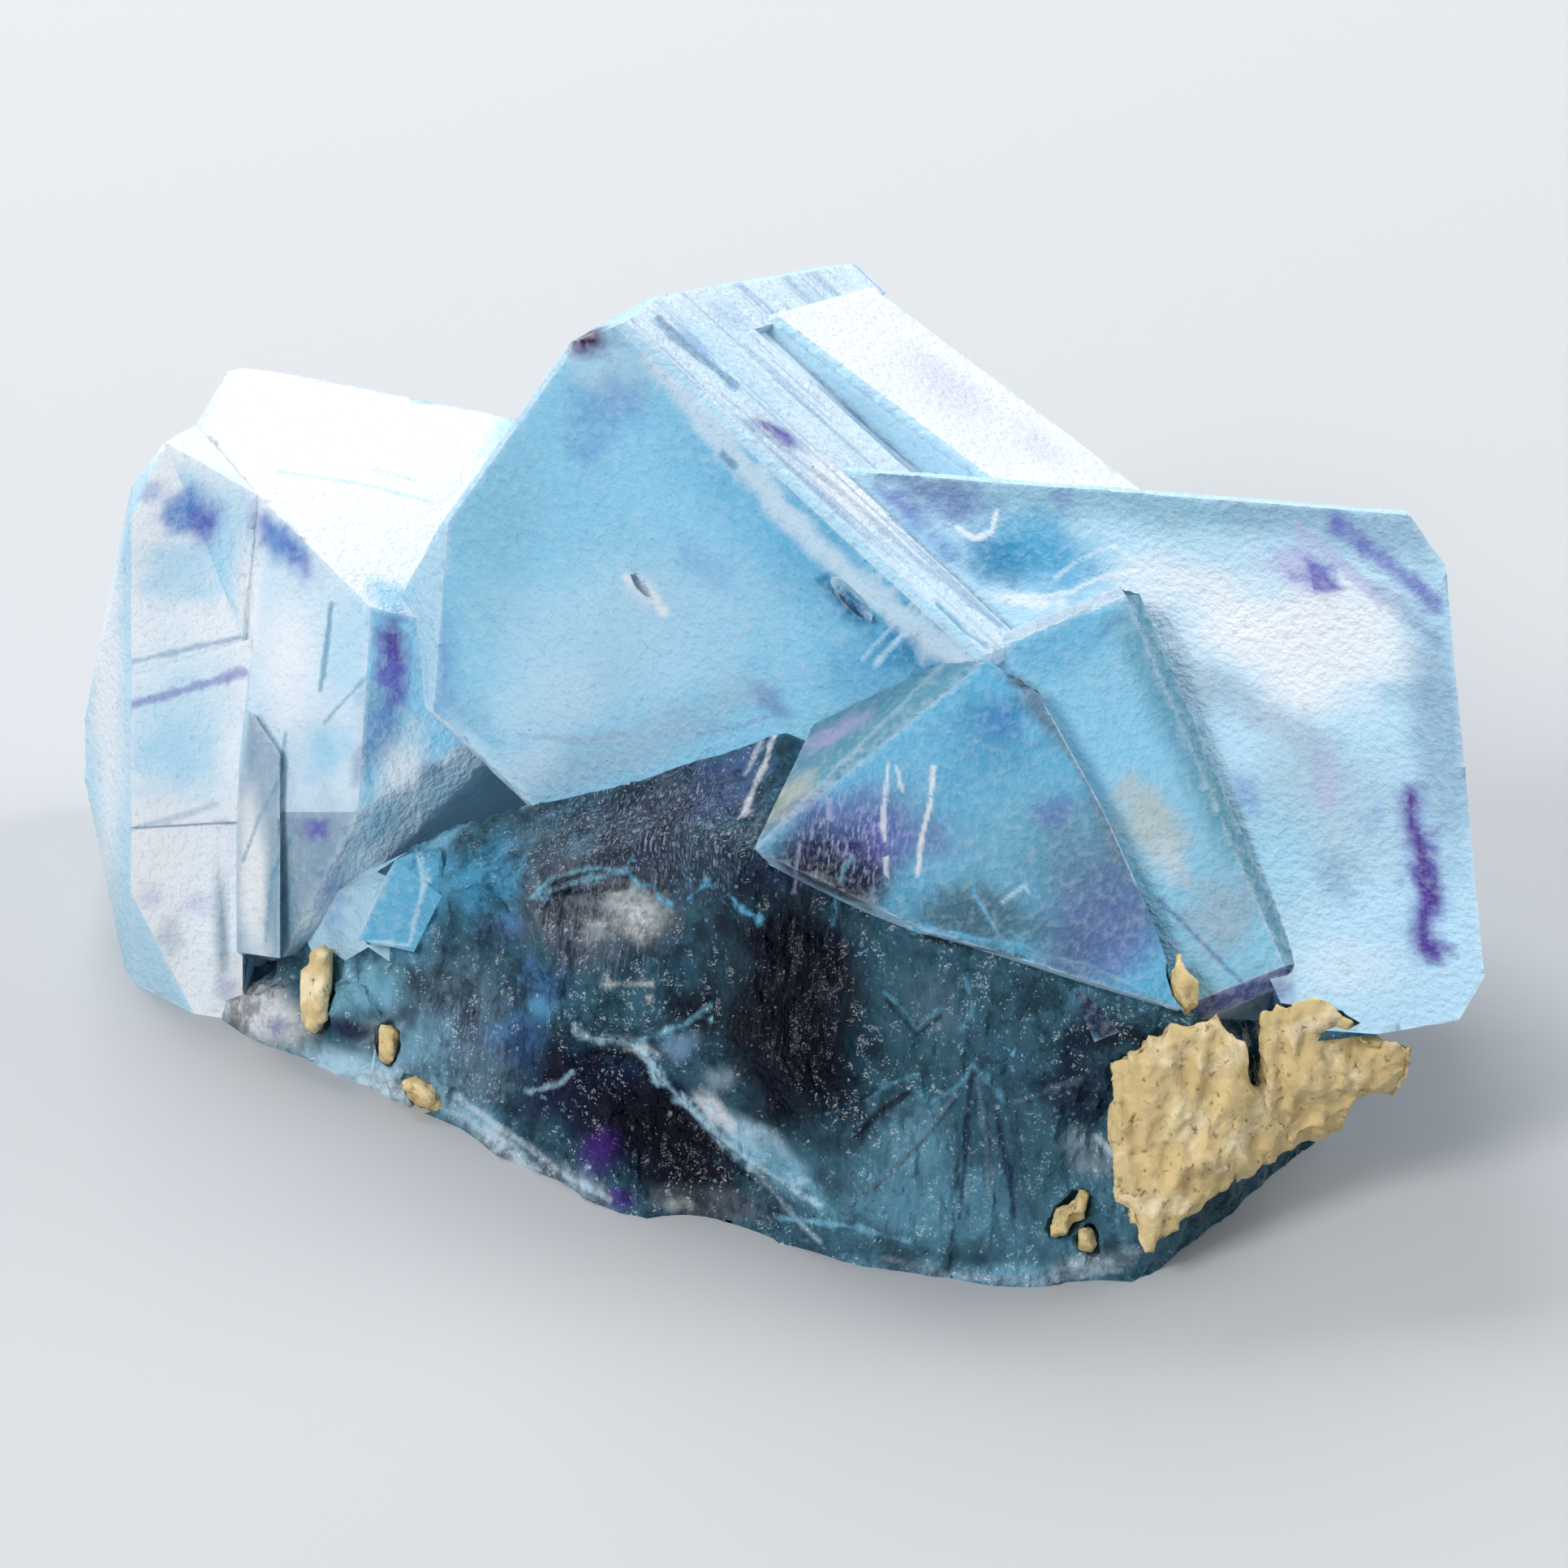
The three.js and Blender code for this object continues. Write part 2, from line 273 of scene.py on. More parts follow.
fluoriteLook = {
    "clear": 0.30,            # how much light goes through
    "rough": 0.26,            # on a clean crystal face
    "frostRough": 0.26,       # added where it is frosted
    "specular": 0.09,
    "index": 1.434,
    "etchDepth": 0.00014,     # m
    "hackleDepth": 0.00026,   # m
    "drift": 0.05,
    "pitRough": 0.2,          # added in the etch pits
    "tornRough": -0.12,       # and where it is broken
    # strength and colour of what is laid over the tint
    "veil": (0.32, srgb(226, 244, 255)),
    "pits": (0.3, srgb(84, 128, 160)),
    # shadow and glints: painted shade in the ripple hollows of the breaks, painted highlights on their
    # ripples
    "shadow": (0.6, srgb(6, 14, 30)),
    "glints": (0.6, srgb(150, 194, 222)),
    "fibres": (0.75, srgb(180, 192, 222)),
    "growth": (0.6, srgb(132, 172, 206)),
    "absorbs": srgb(120, 200, 230),
    "density": 26,            # per metre
}


def fluoriteMaterial(look):
    material, tree, shader = newMaterial("fluoriteCrystal")
    place = addNode(tree, "ShaderNodeTexCoord").outputs["Object"]
    tint = addNode(tree, "ShaderNodeAttribute", attribute_name="tint").outputs["Color"]
    wear = addNode(tree, "ShaderNodeAttribute", attribute_name="wear")
    parts = addNode(tree, "ShaderNodeSeparateColor")
    tree.links.new(wear.outputs["Color"], parts.inputs[0])
    frosted, torn, fibrous = parts.outputs
    lined = wear.outputs["Alpha"]
    etch = placeGroup(tree, etching, place)
    rip = placeGroup(tree, hackle, place)
    lines = placeGroup(tree, growthLines, place)
    drift = placeGroup(tree, colourDrift, place, Scale=300, Amount=look["drift"])
    tree.links.new(tint, drift.inputs["Colour"])
    shadow = mathNode(tree, "SUBTRACT", 1.0, rip.outputs["Shade"])
    streak = rampNode(tree, lines.outputs["Lines"], 0.5, 0.66)
    colour = drift.outputs["Colour"]
    for name, pattern, where in (
        ("veil", etch.outputs["Veil"], frosted),
        ("pits", etch.outputs["Pits"], frosted),
        ("shadow", shadow, torn),
        ("glints", rip.outputs["Glints"], torn),
        ("fibres", rip.outputs["Fibres"], fibrous),
        ("growth", streak, lined),
    ):
        strength, over = look[name]
        share = mathNode(tree, "MULTIPLY", pattern, mathNode(tree, "MULTIPLY", where, strength))
        colour = mixColour(tree, share, colour, over)
    tree.links.new(colour, shader.inputs["Base Color"])
    rough = mathNode(tree, "MULTIPLY_ADD", frosted, look["frostRough"], look["rough"])
    rough = mathNode(tree, "MULTIPLY_ADD", etch.outputs["Pits"], look["pitRough"], rough)
    rough = mathNode(tree, "MULTIPLY_ADD", torn, look["tornRough"], rough, clamp=True)
    tree.links.new(rough, shader.inputs["Roughness"])
    smooth = mathNode(tree, "MULTIPLY", torn, look["etchDepth"])
    smooth = mathNode(tree, "SUBTRACT", look["etchDepth"], smooth)
    height = mathNode(tree, "MULTIPLY_ADD", lines.outputs["Lines"], lined, etch.outputs["Height"])
    height = mathNode(tree, "MULTIPLY", height, smooth)
    tearing = mathNode(tree, "MULTIPLY", torn, look["hackleDepth"])
    height = mathNode(tree, "MULTIPLY_ADD", rip.outputs["Height"], tearing, height)
    bump = addNode(tree, "ShaderNodeBump")
    bump.inputs["Distance"].default_value = 1
    tree.links.new(height, bump.inputs["Height"])
    tree.links.new(bump.outputs[0], shader.inputs["Normal"])
    shader.inputs["Metallic"].default_value = 0
    shader.inputs["Transmission Weight"].default_value = look["clear"]
    shader.inputs["IOR"].default_value = look["index"]
    shader.inputs["Specular IOR Level"].default_value = look["specular"]
    absorption = addNode(tree, "ShaderNodeVolumeAbsorption")
    absorption.inputs["Color"].default_value = (*look["absorbs"], 1)
    absorption.inputs["Density"].default_value = look["density"]
    tree.links.new(absorption.outputs[0], tree.nodes["Material Output"].inputs["Volume"])
    return material


fluoriteMat = fluoriteMaterial(fluoriteLook)

stoneLook = {
    "base": srgb(208, 184, 132),
    "pale": srgb(232, 216, 178),
    "dark": srgb(146, 118, 72),
    "bump": 0.00016,  # m
}


def stoneMaterial(look):
    material, tree, shader = newMaterial("tanMatrix")
    place = addNode(tree, "ShaderNodeTexCoord").outputs["Object"]
    drift = placeGroup(tree, colourDrift, place, Scale=700, Amount=0.14)
    drift.inputs["Colour"].default_value = (*look["base"], 1)
    coarse = noiseNode(tree, place, 520, 5, 0.6, 0.4)
    fine = noiseNode(tree, place, 2600, 4, 0.7)
    colour = mixColour(tree, rampNode(tree, coarse, 0.52, 0.66), drift.outputs["Colour"], look["pale"])
    colour = mixColour(tree, rampNode(tree, fine, 0.42, 0.3), colour, look["dark"])
    tree.links.new(colour, shader.inputs["Base Color"])
    tree.links.new(rampNode(tree, fine, 0.3, 0.7, 0.6, 0.9), shader.inputs["Roughness"])
    bump = addNode(tree, "ShaderNodeBump")
    bump.inputs["Distance"].default_value = look["bump"]
    tree.links.new(mathNode(tree, "MULTIPLY_ADD", fine, 0.4, coarse), bump.inputs["Height"])
    tree.links.new(bump.outputs[0], shader.inputs["Normal"])
    shader.inputs["Specular IOR Level"].default_value = 0.35
    return material


stone = stoneMaterial(stoneLook)
print("materials made")

# the fluorite: a finer copy of its solid, with its ledges raised and its colours laid on

# the crystals' own faces: the way each faces and its distance out, in faced mm, its colour, and the
# place and reach it is looked for in, where others lie in the same plane
crystalFaces = {
    "main": {"way": (-0.438, -0.170, 0.883), "out": 1.20, "slack": 0.3, "colour": "sky"},
    "steps": {"way": (0.548, 0.727, 0.412), "out": 8.10, "slack": 0.8, "colour": "pearl"},
    # far, slab and leftFront: their snow white is pale crystal with a painted backlit glow
    "far": {"way": (0.478, 0.788, 0.389), "out": 9.32, "slack": 0.3, "colour": "snow"},
    "right": {"way": (0.099, 0.421, 0.902), "out": 4.51, "slack": 0.3, "colour": "ice"},
    "step": {"way": (0.000, 0.240, 0.971), "out": 4.69, "slack": 0.15, "colour": "sky"},
    "fore": {"way": (0.002, 0.231, 0.973), "out": 5.98, "slack": 0.5, "colour": "pool"},
    "shoulder": {"way": (-0.562, 0.710, 0.424), "out": 1.90, "slack": 0.5, "colour": "sea"},
    "shelf": {"way": (-0.316, 0.567, 0.760), "out": 4.16, "slack": 0.5, "colour": "sea"},
    "mainFoot": {
        "way": (-0.698, -0.635, 0.332), "out": 5.19, "slack": 0.3, "colour": "pearl",
        "near": ((-9.55, 0.94), 4),
    },
    "mainBevel": {
        "way": (-0.814, 0.350, 0.464), "out": 10.71, "slack": 0.2, "colour": "ice",
        "near": ((-8.9, 11.24), 6),
    },
    "stepTop": {
        "way": (-0.266, 0.806, 0.529), "out": 3.70, "slack": 0.2, "colour": "mist",
        "near": ((8.97, 5.24), 4),
    },
    "stepBand": {"way": (0.655, 0.428, 0.623), "out": 11.77, "slack": 0.2, "colour": "sea"},
    "stepSide": {"way": (0.927, 0.365, -0.090), "out": 12.45, "slack": 0.3, "colour": "sea"},
    "underStep": {
        "way": (0.266, -0.466, 0.844), "out": 12.13, "slack": 0.4, "colour": "dusk",
        "near": ((14.71, -7.15), 2.5)
    },
    "slab": {
        "way": (0.190, 0.820, 0.540), "out": 0.07, "slack": 1.4, "colour": "snow",
        "near": ((-13.46, 9.55), 9),
    },
    "leftFront": {"way": (-0.240, -0.025, 0.970), "out": -3.20, "slack": 0.8, "colour": "snow"},
    "leftMid": {"way": (-0.620, 0.120, 0.775), "out": 5.80, "slack": 0.9, "colour": "pearl"},
    "leftIn": {"way": (0.450, -0.547, 0.705), "out": -8.51, "slack": 0.4, "colour": "pearl"},
    "leftPane": {"way": (0.096, 0.069, 0.993), "out": -5.27, "slack": 0.4, "colour": "sky"},
    "leftLow": {
        "way": (-0.560, -0.020, 0.828), "out": 4.85, "slack": 0.5, "colour": "mist",
        "near": ((-16.6, -2.97), 5)
    },
    "tealBlock": {
        "way": (-0.420, 0.000, 0.905), "out": 2.50, "slack": 0.4, "colour": "pool",
        "near": ((-12.29, -4.02), 2.8)
    },
    # tealSide: painted lighter than its own cyan, as painted light against the shade it lies in
    "tealSide": {"way": (0.638, -0.705, 0.308), "out": -8.31, "slack": 0.4, "colour": "ice"},
}

fluoriteShape = {
    "coarse": 0.8,      # mm between the cuts that make its faces finer, all round
    "faceCut": 0.36,    # mm, on crystal faces towards the eye
    "breakCut": 0.26,   # mm, on the breaks towards the eye
    "fineEdge": 0.14,   # mm, longest edge beside ledges and thin streaks
    "stepCut": 0.13,    # mm, across the growth steps
    "crease": 24,       # degrees past which an edge stays sharp
    "merge": 0.002,     # mm, corners nearer than this are one
    "thin": 0.05,       # mm, a face narrower than this has no way of its own
    "inPlane": 0.05,    # mm, how near a corner lies to a plane that it is set in
    "patch": 0.5,       # mm2, least area in one plane of a face looked for by place
    "scrap": 0.3,       # mm2, a lone face smaller than this among breaks is broken
    "flatArea": 3.2,    # mm2 of one plane that makes it a crystal face, not a break
    "whole": [(-12.94, -5.45), (7.4, 3.03), (25.2, 8.5)],  # left of and above these nothing is broken
    "tear": 0.15,       # mm, how far the breaks are torn in and out
    "ridges": 0.8,      # torn ridges to the mm, about
    "grain": Vector((2.6, 0.9, 2.0)),  # finer grain to the mm: across, up and outward
    "terrace": 0.10,    # mm, height of the growth steps
    "terraces": 0.85,   # broad growth steps to the mm
    "fineSteps": 3.4,   # and fine ones, about
    "stepWander": 0.5,  # mm, how far a growth step strays from its line
    "chipping": 0.05,   # mm, how far the crystal edges are worn
    "chips": (0.7, 1.7),  # long and short chips to the mm, about
    "ledgeBreaks": 2.3,   # uneven spots to the mm on a raised crest, about
}

# thin crests where the break steps: height and half width in mm, then the way each runs
ledges = {
    "crescent": (
        0.22, 0.12, "haze",
        [
            (-8.17, -3.7), (-7.33, -3.0), (-6.29, -2.71), (-4.9, -2.77), (-5.9, -3.0), (-6.94, -3.23),
            (-8.17, -3.7),
        ],
    ),
    "crescentHook": (
        0.16, 0.11, "pool",
        [(-4.98, -2.82), (-4.6, -3.29), (-4.17, -3.23), (-4.02, -3.65), (-3.6, -3.89)],
    ),
    "crescentEnd": (
        0.12, 0.09, "pool",
        [
            (-3.08, -3.68), (-2.56, -3.29), (-2.03, -3.23), (-1.6, -3.7), (-1.28, -4.12),
            (-0.73, -4.28),
        ],
    ),
    "longCrack": (0.18, 0.12, "pool", [(4.02, -4.6), (5.84, -4.93), (7.72, -5.27)]),
    "longCrackEnd": (
        0.14, 0.09, "steel",
        [(7.72, -5.27), (8.71, -5.66), (9.76, -5.84), (11.32, -6.63), (12.63, -7.23)],
    ),
    "zigzag": (0.10, 0.08, "sea", [(3.23, -6.68), (3.76, -7.15), (4.28, -7.85), (5.06, -7.2)]),
    "hook": (0.08, 0.08, "sea", [(5.84, -6.16), (6.05, -7.28), (5.69, -7.88)]),
    "lowCrack": (0.14, 0.11, "sea", [(2.71, -10.15), (3.29, -9.7), (4.33, -9.29)]),
    "lowCurve": (
        0.14, 0.10, "sea",
        [(4.23, -9.8), (4.67, -10.28), (5.58, -9.76), (6.1, -9.03), (7.02, -10.15)],
    ),
    "crest": (
        0.32, 0.18, "ice",
        [
            (-6.68, -7.93), (-6.03, -8.27), (-4.98, -8.32), (-4.33, -8.71), (-3.8, -9.63),
            (-3.03, -10.4), (-2.11, -11.27), (-0.94, -12.18), (1.15, -13.54),
        ],
    ),
    "crestArm": (0.20, 0.14, "haze", [(-4.98, -8.32), (-4.02, -8.06), (-3.23, -7.75), (-2.37, -7.15)]),
    "dash": (0.10, 0.13, "bone", [(-5.58, -6.42), (-4.17, -6.42)]),
    "tooth": (0.12, 0.10, "ice", [(7.02, -3.8), (7.72, -3.29), (7.88, -3.5)]),
    "ray1": (0.12, 0.10, "slate", [(5.58, -9.89), (4.54, -11.32), (3.23, -12.63), (1.93, -13.67)]),
    "ray2": (0.14, 0.12, "greyTeal", [(5.84, -9.89), (5.58, -11.84), (5.37, -13.93), (5.2, -15.5)]),
    "ray3": (0.12, 0.10, "slate", [(6.23, -9.5), (6.5, -11.32), (6.68, -13.4)]),
    "ray4": (0.12, 0.12, "greyTeal", [(7.15, -10.8), (7.72, -12.37), (8.06, -13.93)]),
    "ray5": (0.12, 0.10, "slate", [(7.4, -10.28), (8.71, -9.76), (9.5, -9.5)]),
    "ray6": (0.14, 0.12, "mist", [(-0.94, -12.37), (0.23, -13.8), (1.15, -14.71)]),
    "blockEdge": (
        0.08, 0.10, "ice",
        [(-11.63, -0.89), (-11.84, -1.93), (-11.58, -3.23), (-12.03, -5.2), (-13.33, -5.06)],
    ),
}


# thin coloured lines in the faces: colour, strength, half width in mm, and the way each runs
streaks = [
    ("violet", 0.7, 0.30, [(17.71, 8.37), (19.15, 7.33), (21.03, 5.77)], "right"),
    ("lilac", 0.6, 0.24, [(16.54, 8.24), (17.84, 7.2), (19.15, 5.9)], "right"),
    ("dusk", 0.35, 0.26, [(19.15, 6.29), (21.1, 4.46)], "right"),
    (
        "violet", 0.5, 0.50,
        [(20.06, -0.5), (20.5, -1.93), (20.77, -3.76), (20.5, -4.8), (20.92, -5.53)],
        "right",
    ),
    (
        "purple", 0.9, 0.26,
        [
            (20.06, -0.5), (20.32, -1.67), (20.71, -2.97), (20.77, -3.89), (20.45, -4.8),
            (20.92, -5.53),
        ],
        "right",
    ),
    ("violet", 0.85, 0.46, [(17.06, 6.89), (17.37, 6.68)], "right"),
    (
        "snow", 0.7, 0.08,
        [(11.32, 6.89), (10.02, 6.57), (9.18, 6.16), (8.06, 6.03), (7.15, 5.77)],
        "right",
    ),
    ("snow", 0.5, 0.07, [(11.2, 7.2), (10.6, 7.67), (9.5, 7.2), (8.71, 6.63)], "right"),
    (
        "pearl", 0.85, 0.44,
        [(-4.17, 13.72), (-2.11, 11.11), (0.5, 8.2), (2.97, 5.95), (5.58, 4.12)],
        "main",
    ),
    ("steel", 0.5, 0.12, [(2.45, 10.07), (4.8, 9.76), (7.15, 9.86), (11.32, 9.44)], "right"),
    ("snow", 0.9, 0.10, [(5.58, 8.24), (6.1, 7.88), (6.68, 8.11), (6.83, 8.77)], "right"),
    ("lagoon", 0.9, 0.22, [(1.36, 6.63), (2.06, 5.9), (2.92, 5.27)], "main"),
    ("deepTeal", 0.6, 0.10, [(1.67, 6.2), (2.2, 5.74), (2.87, 5.27)], "main"),
    ("ice", 0.9, 0.10, [(4.8, 5.77), (3.63, 4.6), (2.92, 3.8)], "main"),
    ("ice", 0.7, 0.08, [(4.15, 5.84), (3.23, 4.8), (2.5, 4.02)], "main"),
    ("snow", 0.8, 0.13, [(-5.11, 6.63), (-4.46, 6.29), (-3.86, 5.5)], "main"),
    ("mist", 0.6, 0.10, [(-8.5, 1.6), (-6.94, 1.4), (-5.37, 1.51)], "main"),
    ("steel", 0.5, 0.08, [(-2.77, 1.6), (-1.72, 1.77), (-0.29, 2.24)], "main"),
    ("lagoon", 0.7, 0.14, [(-1.6, 10.2), (-1.98, 10.6)], "main"),
    ("snow", 0.75, 0.13, [(6.31, 4.17), (3.5, 6.63), (0.37, 9.23), (-1.6, 10.6)], "steps"),
    ("steel", 0.8, 0.20, [(-4.02, 14.97), (-3.03, 13.93), (-1.6, 12.89)], "steps"),
    ("steel", 0.45, 0.13, [(0.89, 12.94), (3.23, 10.98), (5.32, 9.55)], "steps"),
    ("steel", 0.5, 0.12, [(-1.2, 11.63), (1.67, 9.55), (4.28, 7.2), (6.89, 5.11)], "steps"),
    ("cyan", 0.8, 0.10, [(4.93, 5.77), (5.84, 4.9), (6.5, 4.46)], "steps"),
    ("haze", 0.4, 0.09, [(-16.2, 10.02), (-13.72, 9.68), (-11.37, 9.08)], "slab"),
    ("haze", 0.35, 0.08, [(-13.2, 10.12), (-12.03, 9.8)], "slab"),
    ("violet", 0.6, 0.15, [(-20.9, 2.56), (-19.2, 3.03), (-17.37, 3.6)], "leftFront"),
    ("steel", 0.6, 0.10, [(-21.03, 3.91), (-19.2, 4.33), (-17.24, 4.77)], "leftFront"),
    ("steel", 0.4, 0.10, [(-21.03, -1.46), (-19.6, -1.1), (-18.2, -0.63)], "leftFront"),
    ("sea", 0.8, 0.10, [(-14.56, 5.77), (-14.71, 4.33), (-14.9, 3.03)], "leftMid"),
    ("sea", 0.6, 0.08, [(-14.77, 1.98), (-13.46, 3.42)], ""),
    ("sea", 0.6, 0.08, [(-16.02, 1.6), (-16.2, 0.16), (-16.9, -1.15), (-17.37, -2.45)], ""),
    ("sea", 0.6, 0.10, [(-15.8, -1.67), (-16.46, -2.97), (-16.64, -5.06)], ""),
    ("snow", 0.8, 0.06, [(3.37, 0.68), (3.18, -0.89), (3.29, -2.97)], ""),
    ("snow", 0.9, 0.08, [(4.8, 0.55), (4.7, -0.63), (4.43, -1.67), (4.28, -2.92)], ""),
    ("snow", 0.7, 0.06, [(3.63, 0.55), (3.8, -0.23)], ""),
    ("lilac", 0.7, 0.06, [(1.46, -0.5), (1.4, -1.93)], ""),
    ("lilac", 0.6, 0.06, [(0.5, -1.93), (0.31, -3.5)], ""),
    ("pool", 0.7, 0.06, [(4.8, -0.89), (5.97, -2.2), (6.1, -3.5), (6.89, -4.8)], "fore"),
    ("steel", 0.6, 0.07, [(7.28, -2.84), (9.18, -1.4), (10.23, -2.97)], "fore"),
    ("sea", 0.7, 0.07, [(2.24, -2.32), (1.93, -2.71), (1.67, -3.5), (1.57, -4.54)], ""),
    ("lilac", 0.7, 0.12, [(3.89, -2.84), (3.5, -4.28)], "break"),
    ("snow", 0.85, 0.10, [(-0.29, 1.6), (-0.68, 0.55), (-1.33, -1.02)], "break"),
    ("snow", 0.5, 0.08, [(-0.73, 1.33), (-1.25, 0.29)], "break"),
    (
        "slate", 0.6, 0.14,
        [(7.72, 3.03), (8.71, 1.72), (9.89, -0.23), (10.8, -2.2), (11.84, -3.76)],
        "fore",
    ),
    ("dusk", 0.6, 0.10, [(12.1, -3.76), (13.4, -5.06), (14.71, -6.37), (15.5, -7.67)], ""),
    # the ink and indigo lines below are painted shadows, laid just beside the raised crests, cracks and
    # rays
    ("ink", 0.8, 0.14, [(-7.85, -3.97), (-7.2, -3.5), (-5.11, -3.29)], "break"),
    (
        "ink", 0.8, 0.12,
        [
            (-6.16, -8.6), (-4.85, -8.71), (-4.2, -9.63), (-3.16, -10.93), (-2.11, -11.8),
            (-1.07, -12.68),
        ],
        "break",
    ),
    ("ink", 0.7, 0.09, [(4.15, -4.85), (5.84, -5.2), (7.67, -5.58)], ""),
    ("ink", 0.7, 0.07, [(3.29, -6.94), (4.28, -8.09), (5.0, -7.46)], "break"),
    ("ink", 0.8, 0.12, [(2.32, -11.32), (3.1, -10.54), (4.02, -9.89)], "break"),
    ("indigo", 0.7, 0.10, [(5.97, -9.5), (5.84, -11.84), (5.63, -13.93)], "break"),
    ("indigo", 0.7, 0.10, [(6.83, -10.54), (7.15, -12.37), (7.4, -13.93)], "break"),
    ("pearl", 0.7, 0.10, [(11.2, -12.63), (10.54, -11.84), (10.02, -11.32)], "break"),
    ("mist", 0.7, 0.10, [(3.23, -15.23), (5.58, -15.8), (8.2, -16.02), (10.8, -15.63)], "break"),
    ("sky", 0.6, 0.10, [(-0.16, -13.93), (2.2, -14.24), (4.02, -14.71)], "break"),
    ("pearl", 0.6, 0.12, [(-10.6, -10.02), (-8.5, -11.45), (-6.94, -12.63), (-5.63, -13.36)], "break"),
    ("ice", 0.6, 0.10, [(-8.11, -9.89), (-7.2, -9.63), (-6.8, -9.23)], "break"),
]


def mergedCopy(node):  # with each flat face made one polygon
    mesh = bmesh.new()
    mesh.from_mesh(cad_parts[node].data)
    merge = fluoriteShape["merge"] * mm
    bmesh.ops.remove_doubles(mesh, verts=mesh.verts, dist=merge)
    bmesh.ops.dissolve_degenerate(mesh, edges=mesh.edges, dist=merge * 2)
    bmesh.ops.dissolve_limit(mesh, angle_limit=math.radians(0.3), verts=mesh.verts, edges=mesh.edges)
    mesh.normal_update()
    return mesh


overSteps = (toRow @ Vector(crystalFaces["steps"]["way"])).cross(mainEdge).normalized()


def cutFiner(mesh, faces, cuts):  # cuts faces by rows of planes: the way of each row and its step in mm
    geometry = list({*faces, *(e for f in faces for e in f.edges), *(v for f in faces for v in f.verts)})
    for way, step in cuts:
        reach = [way.dot(v.co / mm - middle) for v in mesh.verts]
        for place in np.arange(min(reach) + step / 2, max(reach), step):
            point = (way * place + middle) * mm
            geometry = bmesh.ops.bisect_plane(
                mesh, geom=geometry, dist=0.03 * step * mm, plane_co=point, plane_no=way
            )["geom"]


def makeTriangles(mesh):
    loose = [f for f in mesh.faces if len(f.verts) > 3]
    bmesh.ops.triangulate(mesh, faces=loose, quad_method="BEAUTY", ngon_method="BEAUTY")


def faceKinds(mesh):  # 1 and up: the listed crystal faces; 0: other flat faces; -1: broken
    normals = np.array([f.normal for f in mesh.faces]) @ np.array(toRow)
    centres = facedArray(np.array([f.calc_center_median() for f in mesh.faces]))
    areas = np.array([f.calc_area() for f in mesh.faces]) / mm / mm
    offsets = (normals * centres).sum(1)
    kinds = np.full(len(areas), -1)
    flat = np.zeros(len(areas))
    for i in range(len(areas)):
        same = (normals @ normals[i] > 0.9995) & (np.abs(offsets - offsets[i]) < 0.04)
        flat[i] = areas[same].sum()
    kinds[flat > fluoriteShape["flatArea"]] = 0
    for aside, up in fluoriteShape["whole"]:
        kinds[(centres[:, 0] < aside) & (centres[:, 1] > up)] = 0
    for number, face in enumerate(crystalFaces.values(), 1):
        way = np.array(face["way"]) / np.linalg.norm(face["way"])
        match = (normals @ way > 0.985) & (np.abs(centres @ way - face["out"]) < face["slack"])
        if "near" in face:
            (aside, up), reach = face["near"]
            match &= np.hypot(centres[:, 0] - aside, centres[:, 1] - up) < reach
            match &= flat > fluoriteShape["patch"]
        else:
            match &= kinds == 0
        kinds[match] = number
    return kinds


fluoriteMesh = mergedCopy("fluorite_cluster")
fluoriteTree = BVHTree.FromBMesh(fluoriteMesh)
kindLayer = fluoriteMesh.faces.layers.int.new("kind")
for face, kind in zip(fluoriteMesh.faces, faceKinds(fluoriteMesh)):
    face[kindLayer] = int(kind)


def joinSlivers(mesh):  # a face too thin to have a way of its own takes after the plane it lies in
    thin = []
    for face in mesh.faces:
        longest = max(face.edges, key=lambda e: e.calc_length())
        if face.calc_area() < longest.calc_length() * fluoriteShape["thin"] * mm:
            thin.append((face, longest))
    for number, known in enumerate(crystalFaces.values(), 1):
        way = toRow @ Vector(known["way"]).normalized()
        for face, _ in thin:
            if max(abs((v.co / mm - middle).dot(way) - known["out"]) for v in face.verts) < 0.06:
                face[kindLayer] = number
    for face, longest in thin:
        for other in longest.link_faces:
            face[kindLayer] = max(face[kindLayer], other[kindLayer])
    for face in mesh.faces:  # and a scrap among breaks is broken too
        beside = {other[kindLayer] for e in face.edges for other in e.link_faces if other is not face}
        if beside == {-1} and face.calc_area() < fluoriteShape["scrap"] * mm * mm:
            face[kindLayer] = -1


def flattenFaces(mesh):  # sets the listed single faces exactly in their planes
    for number, (name, known) in enumerate(crystalFaces.items(), 1):
        if name == "steps":
            continue
        faces = [f for f in mesh.faces if f[kindLayer] == number]
        if not faces:
            continue
        largest = max(faces, key=lambda f: f.calc_area())
        way, point = largest.normal.copy(), largest.calc_center_median()
        for vertex in {v for f in faces for v in f.verts}:
            gap = (vertex.co - point).dot(way)
            if abs(gap) < fluoriteShape["inPlane"] * mm:
                vertex.co -= gap * way
        mesh.normal_update()
        for face in faces:  # a thin one that now lies folded over is opened again
            if face.normal.dot(way) < 0 and len(face.verts) == 3:
                longest = max(face.edges, key=lambda e: e.calc_length())
                corner = next(v for v in face.verts if v not in longest.verts)
                start, end = (v.co for v in longest.verts)
                along = (end - start).normalized()
                foot = start + along * (corner.co - start).dot(along)
                corner.co = foot + (foot - corner.co) * 0.1
                print("  opened a folded face in", name)
    mesh.normal_update()


joinSlivers(fluoriteMesh)
flattenFaces(fluoriteMesh)


def onCluster(across, up):  # the point of the cluster seen at this place, in faced mm
    start = rowPoint(eye)
    hit = fluoriteTree.ray_cast(start, (rowPoint((across, up, 0)) - start).normalized())[0]
    if hit is None:
        hit = fluoriteTree.find_nearest(rowPoint((across, up, -5)))[0]
        print("  off the cluster, so moved onto it:", across, up)
    return np.array(facedPoint(hit))


flatten = np.array((1, 1, 0.3))  # counts distance towards the eye for less


